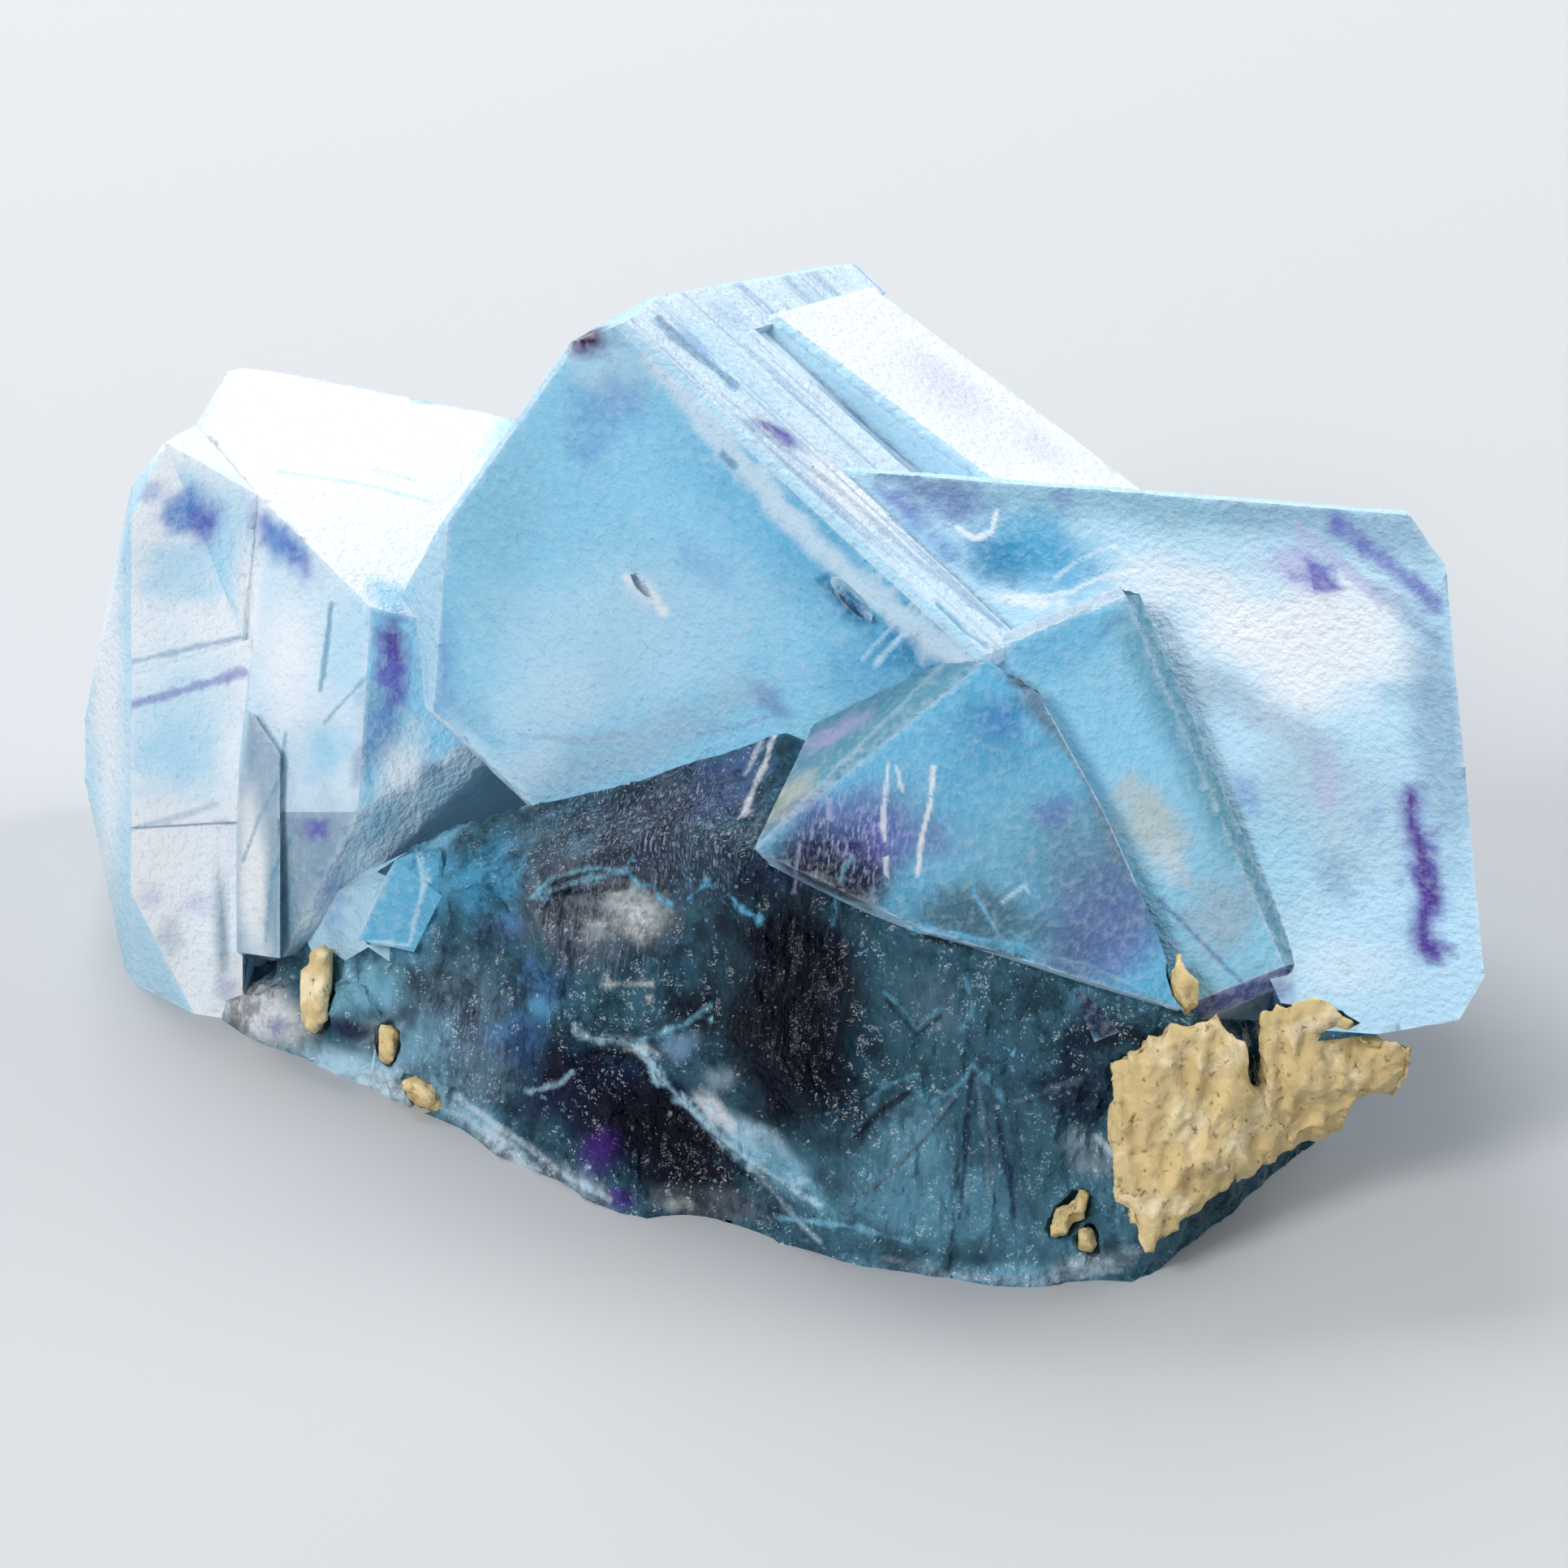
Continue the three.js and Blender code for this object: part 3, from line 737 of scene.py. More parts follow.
def lineDistance(points, line, reach=1.0):  # to a line through the given points, if within reach of it
    points, line = points * flatten, line * flatten
    nearest = np.full(len(points), 1e9)
    close = ((points > line.min(0) - reach) & (points < line.max(0) + reach)).all(1)
    some = points[close]
    distance = nearest[close]
    for start, end in zip(line, line[1:]):
        along = end - start
        share = np.clip((some - start) @ along / (along @ along), 0, 1)
        distance = np.minimum(distance, np.linalg.norm(some - start - share[:, None] * along, axis=1))
    nearest[close] = distance
    return nearest


def densify(line, step=0.4):  # ray-casts between the given places too, so that it follows the surface
    places = []
    for (x0, y0), (x1, y1) in zip(line, line[1:]):
        count = max(1, round(math.hypot(x1 - x0, y1 - y0) / step))
        places += [(x0 + (x1 - x0) * i / count, y0 + (y1 - y0) * i / count) for i in range(count)]
    return np.array([onCluster(*place) for place in [*places, line[-1]]])


ledgeLines = {name: densify(ledge[3]) for name, ledge in ledges.items()}
print("ledges traced")

coarse, faceCut, breakCut = (fluoriteShape[name] for name in ("coarse", "faceCut", "breakCut"))
stepsNumber = list(crystalFaces).index("steps") + 1
stepFaces = [f for f in fluoriteMesh.faces if f[kindLayer] == stepsNumber]
cutFiner(fluoriteMesh, stepFaces, [(overSteps, fluoriteShape["stepCut"])])
cutFiner(fluoriteMesh, fluoriteMesh.faces, [(across, coarse), (upward, coarse), (outward, coarse)])
seen = [f for f in fluoriteMesh.faces if f.normal.dot(outward) > 0.05 and f[kindLayer] != stepsNumber]
seenFlats = [f for f in seen if f[kindLayer] >= 0]
seenBreaks = [f for f in seen if f[kindLayer] < 0]
cutFiner(fluoriteMesh, seenFlats, [(across, faceCut), (upward, faceCut)])
cutFiner(fluoriteMesh, seenBreaks, [(across, breakCut), (upward, breakCut), (outward, breakCut * 2)])
makeTriangles(fluoriteMesh)
print("fluorite refined:", len(fluoriteMesh.faces), "triangles")


def refineBeside(mesh, lines):  # finer still beside the given lines
    limit = fluoriteShape["fineEdge"] * mm
    for _ in range(3):
        places = facedArray(np.array([v.co for v in mesh.verts]))
        near = np.zeros(len(places), bool)
        for line, width in lines:
            near |= lineDistance(places, line) < width + 0.1
        mesh.verts.index_update()
        long = [e for e in mesh.edges if e.calc_length() > limit]
        chosen = [e for e in long if near[[v.index for v in e.verts]].any()]
        if not chosen:
            break
        bmesh.ops.subdivide_edges(mesh, edges=chosen, cuts=1, use_grid_fill=False)
        makeTriangles(mesh)


ledgesAndStreaks = [(ledgeLines[name], ledge[1]) for name, ledge in ledges.items()]
thinStreaks = [streak for streak in streaks if streak[2] < 0.25]
ledgesAndStreaks += [(densify(line), width) for colour, strength, width, line, face in thinStreaks]
refineBeside(fluoriteMesh, ledgesAndStreaks)
print("ledges and streaks refined:", len(fluoriteMesh.faces), "triangles")


def markCreases(mesh, degrees):
    for edge in mesh.edges:
        kinds = {f[kindLayer] for f in edge.link_faces}
        samePlane = len(kinds) == 1 and max(kinds) > 0
        edge.smooth = samePlane or edge.calc_face_angle(0) < math.radians(degrees)


def tearBreaks(mesh, amount):
    broken = [v for v in mesh.verts if max(f[kindLayer] for f in v.link_faces) < 0 and v.co.z > 0.00002]
    for _ in range(3):
        bmesh.ops.smooth_vert(
            mesh, verts=broken, factor=0.5, use_axis_x=True, use_axis_y=True, use_axis_z=True
        )
    mesh.normal_update()
    for vertex in broken:
        place = facedPoint(vertex.co)
        ridge = 0.4 - abs(noise.noise(place * fluoriteShape["ridges"]) * 1.5)
        grain = noise.fractal(place * fluoriteShape["grain"], 0.8, 2.1, 3)
        vertex.co += vertex.normal * amount * mm * (ridge + grain)


def raiseSteps(mesh, amount):  # growth steps, low terraces along the main edge
    for vertex in mesh.verts:
        if all(f[kindLayer] == stepsNumber for f in vertex.link_faces):
            place = vertex.co / mm
            over = place.dot(overSteps) + fluoriteShape["stepWander"] * noise.noise(place * 0.16)
            coarse = (over * fluoriteShape["terraces"]) % 1
            fine = noise.noise(Vector((over * fluoriteShape["fineSteps"], place.dot(mainEdge) * 0.12, 0)))
            vertex.co += vertex.normal * amount * mm * (0.5 - coarse + 0.7 * fine)


def wearEdges(mesh, amount):  # crystal edges a little uneven, never quite straight
    longChips, shortChips = fluoriteShape["chips"]
    for edge in mesh.edges:
        kinds = [f[kindLayer] for f in edge.link_faces]
        if not edge.smooth and min(kinds) >= 0 and edge.calc_length() > 0.05 * mm:
            for vertex in edge.verts:
                vertex[edgeLayer] = 1
    for vertex in mesh.verts:
        if vertex[edgeLayer] and vertex.co.z > 0.0002:
            place = vertex.co / mm
            chip = 0.5 + 0.5 * noise.noise(place * longChips) + max(0, noise.noise(place * shortChips))
            vertex.co -= vertex.normal * amount * mm * chip


def raiseLedges(mesh):
    mesh.normal_update()
    points = facedArray(np.array([v.co for v in mesh.verts]))
    lift = np.zeros(len(points))
    for name, (height, width, colour, line) in ledges.items():
        share = np.clip(1 - lineDistance(points, ledgeLines[name]) / width, 0, 1)
        lift = np.maximum(lift, height * share ** 0.8)
    for vertex, up in zip(list(mesh.verts), lift):
        if up > 0:
            uneven = 0.7 + 0.6 * noise.noise(vertex.co / mm * fluoriteShape["ledgeBreaks"])
            vertex.co += vertex.normal * float(up) * uneven * mm


tearBreaks(fluoriteMesh, fluoriteShape["tear"])
raiseSteps(fluoriteMesh, fluoriteShape["terrace"])
raiseLedges(fluoriteMesh)
markCreases(fluoriteMesh, fluoriteShape["crease"])
edgeLayer = fluoriteMesh.verts.layers.int.new("edge")
wearEdges(fluoriteMesh, fluoriteShape["chipping"])
print("breaks torn, ledges raised")


def keepInside(mesh, node):  # nothing passes the solid's own box
    low, high = (Vector(corner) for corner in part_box(node))
    for vertex in mesh.verts:
        vertex.co = Vector(min(max(c, a), b) for c, a, b in zip(vertex.co, low, high))


def finishPiece(mesh, name, material, node):
    mesh.normal_update()
    for face in mesh.faces:
        face.smooth = True
    data = bpy.data.meshes.new(name)
    mesh.to_mesh(data)
    mesh.free()
    piece = bpy.data.objects.new(name, data)
    bpy.context.scene.collection.objects.link(piece)
    data.materials.append(material)
    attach(piece, "root")
    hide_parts(node)
    return piece


keepInside(fluoriteMesh, "fluorite_cluster")
fluorite = finishPiece(fluoriteMesh, "fluorite", fluoriteMat, "fluorite_cluster")

# washes of colour, in the order they are laid: colour, strength, middle, half width, half height, turn
# in degrees, and the crystal face it stays on ("break" for the breaks, "" for wherever it reaches)
washes = [
    # the main cube's broad face
    ("haze", 0.4, (-9.8, 8.24), 3.8, 3.6, 45, "main"),
    ("ice", 0.75, (-5.37, 4.6), 5.8, 3.4, 15, "main"),
    ("pearl", 0.35, (-7.46, 2.77), 2.6, 1.4, 10, "main"),
    ("pool", 0.55, (-0.94, 9.55), 4.5, 2.0, -42, "main"),
    ("cyan", 0.5, (1.15, 7.2), 4.2, 1.8, -42, "main"),
    ("cyan", 1.0, (3.76, 4.85), 3.0, 2.0, 40, "main"),
    ("lagoon", 0.8, (4.28, 4.6), 1.6, 1.4, 40, "main"),
    ("ice", 0.8, (-6.03, 13.6), 2.2, 1.0, -30, "main"),
    ("blue", 0.42, (-5.63, 12.16), 1.6, 1.0, 20, "main"),
    ("blue", 0.45, (-6.2, 10.8), 1.0, 0.6, 25, "main"),
    ("blue", 0.28, (-2.63, 7.07), 1.5, 0.7, -42, "main"),
    ("blue", 0.5, (-11.32, 3.55), 1.0, 2.4, 0, "main"),
    ("steel", 0.35, (-10.6, 1.72), 1.5, 1.6, 0, "main"),
    ("mist", 0.5, (-5.37, 1.07), 6.0, 0.9, 22, "main"),
    ("pearl", 0.6, (-8.9, 0.16), 2.4, 0.8, 25, "main"),
    ("dusk", 0.55, (-0.37, 2.56), 0.4, 0.8, 35, "main"),
    # painted light: lightens the strip along the main cube's upper-left edge, which lies in shade
    ("ice", 1.0, (-8.97, 11.37), 4.0, 0.5, 53, ""),
    ("ice", 1.0, (-9.47, 0.73), 2.6, 0.4, -47, ""),
    ("purple", 0.8, (-6.26, 14.35), 1.0, 0.6, 28, ""),
    ("plum", 1.0, (-6.26, 14.45), 0.8, 0.5, 28, ""),
    ("pearl", 1.0, (-4.49, 6.2), 1.0, 0.5, -52, ""),
    ("lagoon", 1.0, (2.06, 5.77), 1.2, 0.5, -42, ""),
    ("deepTeal", 0.7, (1.8, 5.95), 0.9, 0.18, -42, ""),
    ("ice", 0.8, (2.56, 5.95), 0.9, 0.13, -42, ""),
    ("sky", 0.8, (-12.73, 5.9), 0.8, 1.6, 4, ""),
    ("steel", 0.7, (-12.94, 1.98), 0.9, 1.8, 4, ""),
    ("violet", 0.9, (-12.68, 3.94), 0.62, 1.9, 4, ""),
    ("purple", 0.8, (-12.57, 4.6), 0.36, 0.9, 4, ""),
    ("blue", 0.5, (-12.94, 1.72), 0.7, 1.0, 4, ""),
    ("snow", 0.85, (-12.23, 0.29), 0.9, 1.8, -14, ""),
    # the main cube's stepped top
    ("mist", 0.45, (-0.16, 9.8), 6.5, 0.9, -42, "steps"),
    ("snow", 0.9, (2.45, 9.16), 2.4, 0.7, -42, "steps"),
    ("ice", 0.6, (-1.72, 13.33), 3.0, 0.8, -42, "steps"),
    ("blue", 0.5, (-2.82, 14.11), 1.3, 0.28, -48, "steps"),
    ("sky", 0.8, (3.63, 11.24), 1.5, 0.6, -40, "steps"),
    ("blue", 0.3, (2.71, 11.9), 0.9, 0.4, -40, "steps"),
    ("purple", 0.85, (-0.37, 11.37), 0.85, 0.25, -34, "steps"),
    ("violet", 0.6, (0.16, 11.11), 0.7, 0.28, -34, "steps"),
    ("blue", 0.3, (-1.72, 15.03), 1.0, 0.6, -40, "steps"),
    ("lilac", 0.35, (5.32, 12.68), 2.4, 1.0, -40, "far"),
    ("lilac", 0.3, (8.06, 10.98), 1.6, 0.8, -40, "far"),
    # the broad cube on the right
    ("sea", 0.6, (11.32, 9.34), 9.0, 1.3, -3, "right"),
    ("steel", 0.6, (18.63, 8.5), 4.4, 1.5, -3, "right"),
    # painted glow: the bright white spot in the middle of the right cube
    ("snow", 1.0, (16.54, 4.72), 4.4, 2.8, -12, "right"),
    ("snow", 0.7, (12.37, 6.42), 2.6, 1.4, 0, "right"),
    ("cyan", 1.0, (7.93, 7.46), 3.0, 1.4, -12, "right"),
    ("lagoon", 0.75, (6.76, 7.2), 1.6, 0.9, -12, "right"),
    ("dusk", 0.75, (5.2, 9.16), 2.0, 0.9, -22, "right"),
    ("violet", 0.5, (3.76, 8.97), 1.5, 0.35, -38, "right"),
    ("blue", 0.5, (4.8, 7.85), 1.5, 0.45, -38, "right"),
    ("violet", 0.35, (8.92, 9.16), 0.35, 0.6, 0, "right"),
    ("snow", 0.85, (7.72, 5.9), 1.5, 0.28, -6, "right"),
    ("lilac", 0.7, (16.54, 7.07), 1.4, 0.8, 0, "right"),
    ("mist", 0.75, (13.93, 3.03), 1.8, 0.9, -25, "right"),
    ("mist", 0.6, (16.54, 1.6), 2.0, 0.7, -30, "right"),
    ("steel", 0.45, (20.2, 2.9), 1.2, 0.5, 6, "right"),
    ("steel", 0.6, (21.1, 1.72), 1.1, 5.4, 3, "right"),
    ("mist", 0.5, (17.84, -0.63), 3.4, 2.6, 0, "right"),
    ("sky", 0.5, (15.5, -2.2), 2.0, 2.2, 0, "right"),
    ("steel", 0.5, (17.84, -3.1), 0.8, 1.0, 0, "right"),
    ("lilac", 0.5, (17.53, 0.16), 0.6, 1.6, 0, "right"),
    ("blue", 0.5, (14.84, -0.23), 0.4, 0.8, 20, "right"),
    ("blue", 0.35, (18.89, -1.15), 0.5, 0.6, -30, "right"),
    ("pearl", 0.7, (17.84, -5.84), 2.4, 1.1, 0, "right"),
    ("purple", 0.8, (20.14, -0.5), 0.45, 0.5, -30, "right"),
    ("purple", 0.9, (20.63, -2.97), 0.45, 1.6, -8, "right"),
    ("plum", 0.5, (20.92, -3.5), 0.3, 0.6, -8, "right"),
    ("purple", 0.75, (20.84, -5.37), 0.7, 0.35, 10, "right"),
    # the narrow block that stands out of it
    ("haze", 0.5, (11.32, 3.03), 3.0, 2.4, 20, "step"),
    ("cyan", 0.55, (8.97, 4.6), 2.2, 1.0, 20, "step"),
    ("sea", 0.6, (11.58, 4.6), 1.2, 0.9, -30, "step"),
    ("sky", 0.7, (10.93, 1.98), 1.8, 1.4, -30, "step"),
    ("sea", 0.85, (13.28, 0.94), 0.9, 6.0, 26, "step"),
    ("bone", 0.85, (11.84, -1.4), 1.1, 2.0, 34, "step"),
    ("pearl", 0.45, (12.37, -2.45), 0.7, 0.9, 20, "step"),
    ("mist", 0.7, (13.93, -4.28), 1.6, 1.4, 20, "step"),
    ("dusk", 0.4, (10.67, 5.17), 0.7, 0.16, 42, "step"),
    ("indigo", 0.95, (10.02, -7.4), 1.6, 1.6, 0, "step"),
    ("dusk", 0.7, (15.5, -6.76), 1.0, 0.8, 0, ""),
    ("lilac", 0.5, (13.93, -7.67), 0.7, 0.4, 0, ""),
    # the foremost block
    ("slate", 0.8, (8.32, 2.5), 0.7, 1.8, 36, "fore"),
    ("lagoon", 0.7, (6.76, 1.6), 1.6, 1.4, 0, "fore"),
    ("blue", 0.6, (6.94, 1.72), 0.8, 0.7, 0, "fore"),
    ("haze", 0.5, (5.84, -0.89), 3.4, 3.0, 0, "fore"),
    ("cyan", 0.5, (5.84, 0.16), 1.6, 1.6, 0, "fore"),
    ("slate", 0.6, (9.5, -3.23), 3.2, 3.0, 30, "fore"),
    ("dusk", 0.55, (10.02, -4.28), 2.6, 2.2, 30, "fore"),
    ("violet", 0.4, (8.66, -0.89), 0.8, 0.6, 0, "fore"),
    ("violet", 0.3, (10.93, -5.58), 1.2, 0.9, 0, "fore"),
    ("slate", 0.6, (6.1, -4.28), 2.4, 1.0, 0, "fore"),
    ("slate", 0.7, (10.93, -2.2), 0.6, 2.6, 33, "fore"),
    ("greyTeal", 0.75, (6.63, -4.4), 3.4, 1.2, -14, "fore"),
    ("dusk", 0.4, (10.54, -4.8), 2.4, 1.8, 20, "fore"),
    ("greyTeal", 0.5, (5.58, -4.54), 1.8, 0.8, -10, "fore"),
    # dusk, indigo and ink below: the dark core's deep indigo with painted shade towards black
    ("dusk", 0.9, (2.45, -1.67), 2.6, 1.7, 0, ""),
    ("indigo", 0.95, (1.8, -2.58), 2.4, 1.2, -8, ""),
    ("violet", 0.4, (3.23, -1.93), 1.3, 0.8, 0, ""),
    ("ink", 0.9, (1.28, -3.23), 2.0, 0.8, -16, ""),
    ("lilac", 0.8, (1.54, 1.6), 1.6, 0.35, 32, ""),
    ("straw", 0.8, (-0.03, -0.5), 1.4, 0.55, 48, ""),
    ("bone", 0.6, (0.5, 0.03), 0.9, 0.4, 48, ""),
    ("sea", 0.5, (4.8, 3.03), 1.6, 0.8, 35, "shoulder"),
    ("ink", 0.8, (7.54, 3.34), 0.5, 0.22, -40, ""),
    # the break: the fibrous wall, the black hollow, deep indigo with painted shade near black, and the
    # grey-green shells
    ("bark", 0.9, (-4.85, -1.67), 5.0, 3.2, 18, "break"),
    ("slate", 0.8, (-7.46, -2.06), 1.8, 1.6, 0, "break"),
    ("dusk", 0.55, (-1.72, 0.16), 1.6, 1.4, 20, "break"),
    ("greyTeal", 0.7, (-7.2, -0.89), 2.4, 0.5, 24, "break"),
    ("grey", 0.85, (-6.16, -4.02), 2.9, 1.9, 0, "break"),
    ("bone", 0.95, (-4.98, -4.17), 1.5, 1.1, 0, "break"),
    ("snow", 0.8, (-4.8, -4.23), 0.8, 0.6, 0, "break"),
    ("haze", 0.8, (-2.56, -10.9), 0.9, 0.26, -42, "break"),
    ("ice", 0.8, (-5.37, -8.2), 0.7, 0.16, -8, "break"),
    # ink and indigo here: the hollow's painted shade over its deep indigo
    ("ink", 1.0, (-0.03, -5.58), 3.2, 4.2, 0, "break"),
    ("ink", 1.0, (0.5, -8.71), 3.4, 3.4, 0, "break"),
    ("ink", 0.9, (-3.03, -7.15), 1.4, 1.0, 0, "break"),
    ("indigo", 0.9, (0.23, -2.71), 1.8, 0.9, 0, "break"),
    ("deepTeal", 0.5, (-3.42, -5.84), 0.9, 1.2, 0, "break"),
    ("greyTeal", 0.9, (4.02, -7.15), 1.4, 2.4, 0, "break"),
    ("slate", 0.5, (4.8, -7.15), 1.1, 1.2, 0, "break"),
    ("deepTeal", 0.7, (2.58, -8.45), 0.8, 1.0, 0, "break"),
    ("ink", 0.85, (10.02, -8.06), 2.0, 0.6, 8, "break"),
    ("indigo", 0.7, (9.5, -9.89), 1.6, 1.4, 0, "break"),
    ("greyTeal", 0.6, (7.4, -6.63), 2.4, 1.2, -12, "break"),
    ("sea", 0.45, (9.76, -6.76), 1.8, 0.7, -20, "break"),
    # and the lower dark zone: deep indigo with painted shade
    ("indigo", 0.95, (-5.63, -10.54), 4.2, 2.4, -25, "break"),
    ("ink", 1.0, (-4.07, -11.32), 3.2, 1.7, -28, "break"),
    ("ink", 0.9, (-3.16, -12.5), 2.2, 1.0, -15, "break"),
    ("ink", 0.8, (-6.94, -8.97), 1.8, 0.7, -10, "break"),
    ("ice", 0.9, (-0.8, -11.58), 2.1, 0.6, -32, "break"),
    ("haze", 0.9, (0.23, -12.63), 2.2, 0.7, -30, "break"),
    ("snow", 0.8, (-2.24, -10.49), 1.0, 0.34, -48, "break"),
    ("snow", 0.6, (-4.6, -8.5), 0.9, 0.3, -20, "break"),
    ("steel", 0.8, (-3.42, -8.45), 0.8, 0.5, 20, "break"),
    ("mist", 0.6, (-1.98, -9.5), 0.6, 0.5, 0, "break"),
    ("ink", 0.9, (2.97, -10.93), 1.3, 0.35, 42, "break"),
    ("sea", 0.8, (4.28, -13.4), 4.2, 2.0, -5, "break"),
    ("haze", 0.45, (4.02, -11.32), 1.2, 1.4, 40, "break"),
    ("sea", 0.6, (9.5, -13.93), 2.4, 1.4, 0, "break"),
    ("mist", 0.55, (9.89, -11.84), 1.2, 0.7, -30, "break"),
    ("haze", 0.7, (6.1, -15.8), 5.0, 0.5, -3, "break"),
    ("pearl", 0.5, (10.02, -15.37), 1.6, 0.4, 14, "break"),
    ("blue", 0.4, (-7.77, -6.5), 1.2, 0.9, -20, "break"),
    ("pool", 0.5, (-7.85, -7.15), 0.7, 0.4, -20, "break"),
    ("dusk", 0.5, (-9.03, -4.54), 1.2, 0.8, -20, "break"),
    ("slate", 0.8, (-10.6, -7.4), 2.2, 2.6, 0, "break"),
    ("cyan", 0.75, (-9.55, -3.1), 1.5, 1.7, 0, "break"),
    ("ice", 0.8, (-10.07, -1.15), 1.6, 0.8, 0, "break"),
    ("blue", 0.45, (-8.5, -8.2), 1.4, 1.0, 0, "break"),
    ("haze", 0.6, (-11.63, -8.71), 1.4, 1.4, 0, "break"),
    ("haze", 0.7, (-10.33, -10.4), 2.0, 0.8, -35, "break"),
    ("pearl", 0.75, (-9.03, -11.71), 2.6, 0.45, -36, "break"),
    ("slate", 0.7, (-9.8, -9.5), 1.4, 1.2, 0, "break"),
    ("mist", 0.8, (-6.8, -12.76), 2.0, 0.5, -30, "break"),
    ("purple", 0.6, (-6.03, -11.84), 0.9, 0.8, 0, "break"),
    ("purple", 0.8, (-5.24, -13.36), 0.7, 0.4, 0, "break"),
    ("grey", 0.8, (-2.24, -13.54), 2.6, 0.6, -6, "break"),
    ("bone", 0.6, (-3.42, -13.54), 0.6, 0.2, 0, "break"),
    # the left crystals: their white is pale crystal with a painted backlit glow
    ("snow", 1.0, (-14.77, 10.6), 7.0, 3.0, -8, ""),
    ("snow", 1.0, (-16.6, 12.68), 4.0, 1.6, -8, ""),
    ("snow", 1.0, (-16.33, 10.6), 6.0, 1.2, -6, ""),
    ("ice", 0.7, (-19.33, 2.24), 2.0, 3.4, 0, "leftFront"),
    ("snow", 0.9, (-21.8, 2.77), 0.8, 9.0, 0, ""),
    ("sky", 0.6, (-19.33, 6.94), 1.8, 1.4, 0, ""),
    ("blue", 0.95, (-19.15, 8.71), 1.2, 0.9, 10, ""),
    ("violet", 0.7, (-18.73, 8.37), 0.5, 0.8, 0, ""),
    ("blue", 0.5, (-20.37, 9.42), 0.7, 0.4, 30, ""),
    ("blue", 0.9, (-16.07, 7.67), 1.9, 0.6, -42, ""),
    ("violet", 0.55, (-15.55, 7.2), 1.2, 0.25, -46, ""),
    ("violet", 0.4, (-16.8, 8.24), 0.3, 0.8, 0, ""),
    ("snow", 1.0, (-16.02, 3.8), 1.2, 2.6, 0, ""),
    ("ice", 0.8, (-13.98, 4.33), 0.9, 2.0, 0, ""),
    ("sky", 0.5, (-19.6, 0.94), 1.6, 1.6, 0, "leftFront"),
    ("snow", 1.0, (-19.98, -3.23), 2.2, 3.2, 0, "leftFront"),
    # painted light: lightens the side face in the shaded gap between leftFront and leftMid
    ("snow", 1.0, (-17.22, 5.9), 0.6, 2.6, 0, ""),
    ("lilac", 0.45, (-20.37, -3.63), 0.5, 0.4, 0, "leftFront"),
    ("lilac", 0.5, (-18.94, -3.89), 0.8, 0.4, 0, "leftFront"),
    ("mist", 0.6, (-19.72, -4.93), 0.5, 0.7, 0, "leftFront"),
    ("slate", 0.75, (-18.1, -4.54), 0.32, 2.4, 3, ""),
    ("dusk", 0.7, (-17.9, -6.68), 0.4, 0.35, 0, ""),
    ("steel", 0.6, (-17.17, 0.68), 0.4, 1.5, -8, ""),
    ("snow", 1.0, (-17.06, -2.97), 0.6, 3.6, 4, ""),
    ("sea", 0.7, (-16.02, -4.02), 0.6, 2.3, 6, ""),
    ("sky", 0.7, (-14.77, 0.94), 1.2, 1.0, 20, ""),
    ("steel", 0.5, (-14.63, -2.45), 1.4, 2.0, 0, ""),
    ("violet", 0.75, (-15.08, -1.46), 0.7, 0.4, 0, ""),
    ("dusk", 0.5, (-13.64, 0.55), 0.4, 0.8, -10, ""),
    ("blue", 0.4, (-14.5, -3.76), 0.5, 1.6, 0, ""),
    ("haze", 0.7, (-12.94, -1.15), 0.9, 1.2, -30, ""),
    ("pool", 1.0, (-12.03, -3.37), 1.5, 2.4, -6, ""),
    ("cyan", 0.5, (-11.63, -3.76), 0.7, 1.2, -6, ""),
    # painted light: lightens the shaded under-face beside the teal block
    ("ice", 1.0, (-10.46, -0.37), 2.2, 1.2, -10, ""),
    ("sky", 0.8, (-10.98, -1.67), 1.2, 0.8, -10, ""),
    ("violet", 0.6, (-10.38, -0.4), 0.28, 0.14, 30, ""),
    ("lagoon", 0.7, (-11.37, 0.47), 0.4, 0.4, 0, ""),
    ("haze", 0.9, (-13.72, -6.63), 2.0, 1.2, 0, ""),
    ("snow", 0.9, (-16.85, -7.28), 2.6, 1.1, -20, ""),
    ("mist", 0.6, (-12.68, -7.93), 1.4, 0.9, 0, ""),
    ("indigo", 0.9, (-13.93, -7.88), 0.9, 0.4, -10, ""),
    ("violet", 0.5, (-16.28, -7.8), 0.4, 0.35, 0, ""),
    ("ice", 1.0, (-13.98, -9.29), 3.0, 0.8, -14, ""),
    ("pearl", 0.8, (-12.68, -9.76), 1.6, 0.5, -14, ""),
]

# where the torn breaks lie smoother than the rest: how much, middle, half width and half height
calmPlaces = [
    (0.8, (-12.03, -3.5), 1.8, 2.6),
    (0.5, (-13.98, -7.93), 3.5, 1.8),
    (0.6, (6.1, -12.63), 5.0, 3.0),
    (0.5, (-0.68, -11.84), 2.4, 1.2),
    (0.7, (4.02, -7.15), 1.6, 2.4),
    (1.0, (0.23, -6.89), 2.6, 4.6),
    (1.0, (-3.8, -11.32), 2.8, 1.7),
    (0.7, (-10.6, -0.5), 2.0, 1.2),
]

# where fine fibres show: how strongly, middle, half width and half height
fibrousPlaces = [
    (0.9, (-4.33, -1.4), 4.4, 2.4),
    (0.8, (-5.9, -4.54), 2.4, 1.6),
    (0.9, (2.2, -1.67), 2.2, 2.0),
    (0.07, (-0.16, -6.63), 2.6, 4.0),
    (0.5, (-10.6, -8.45), 2.0, 2.6),
    (0.2, (4.28, -13.15), 3.6, 1.8),
]


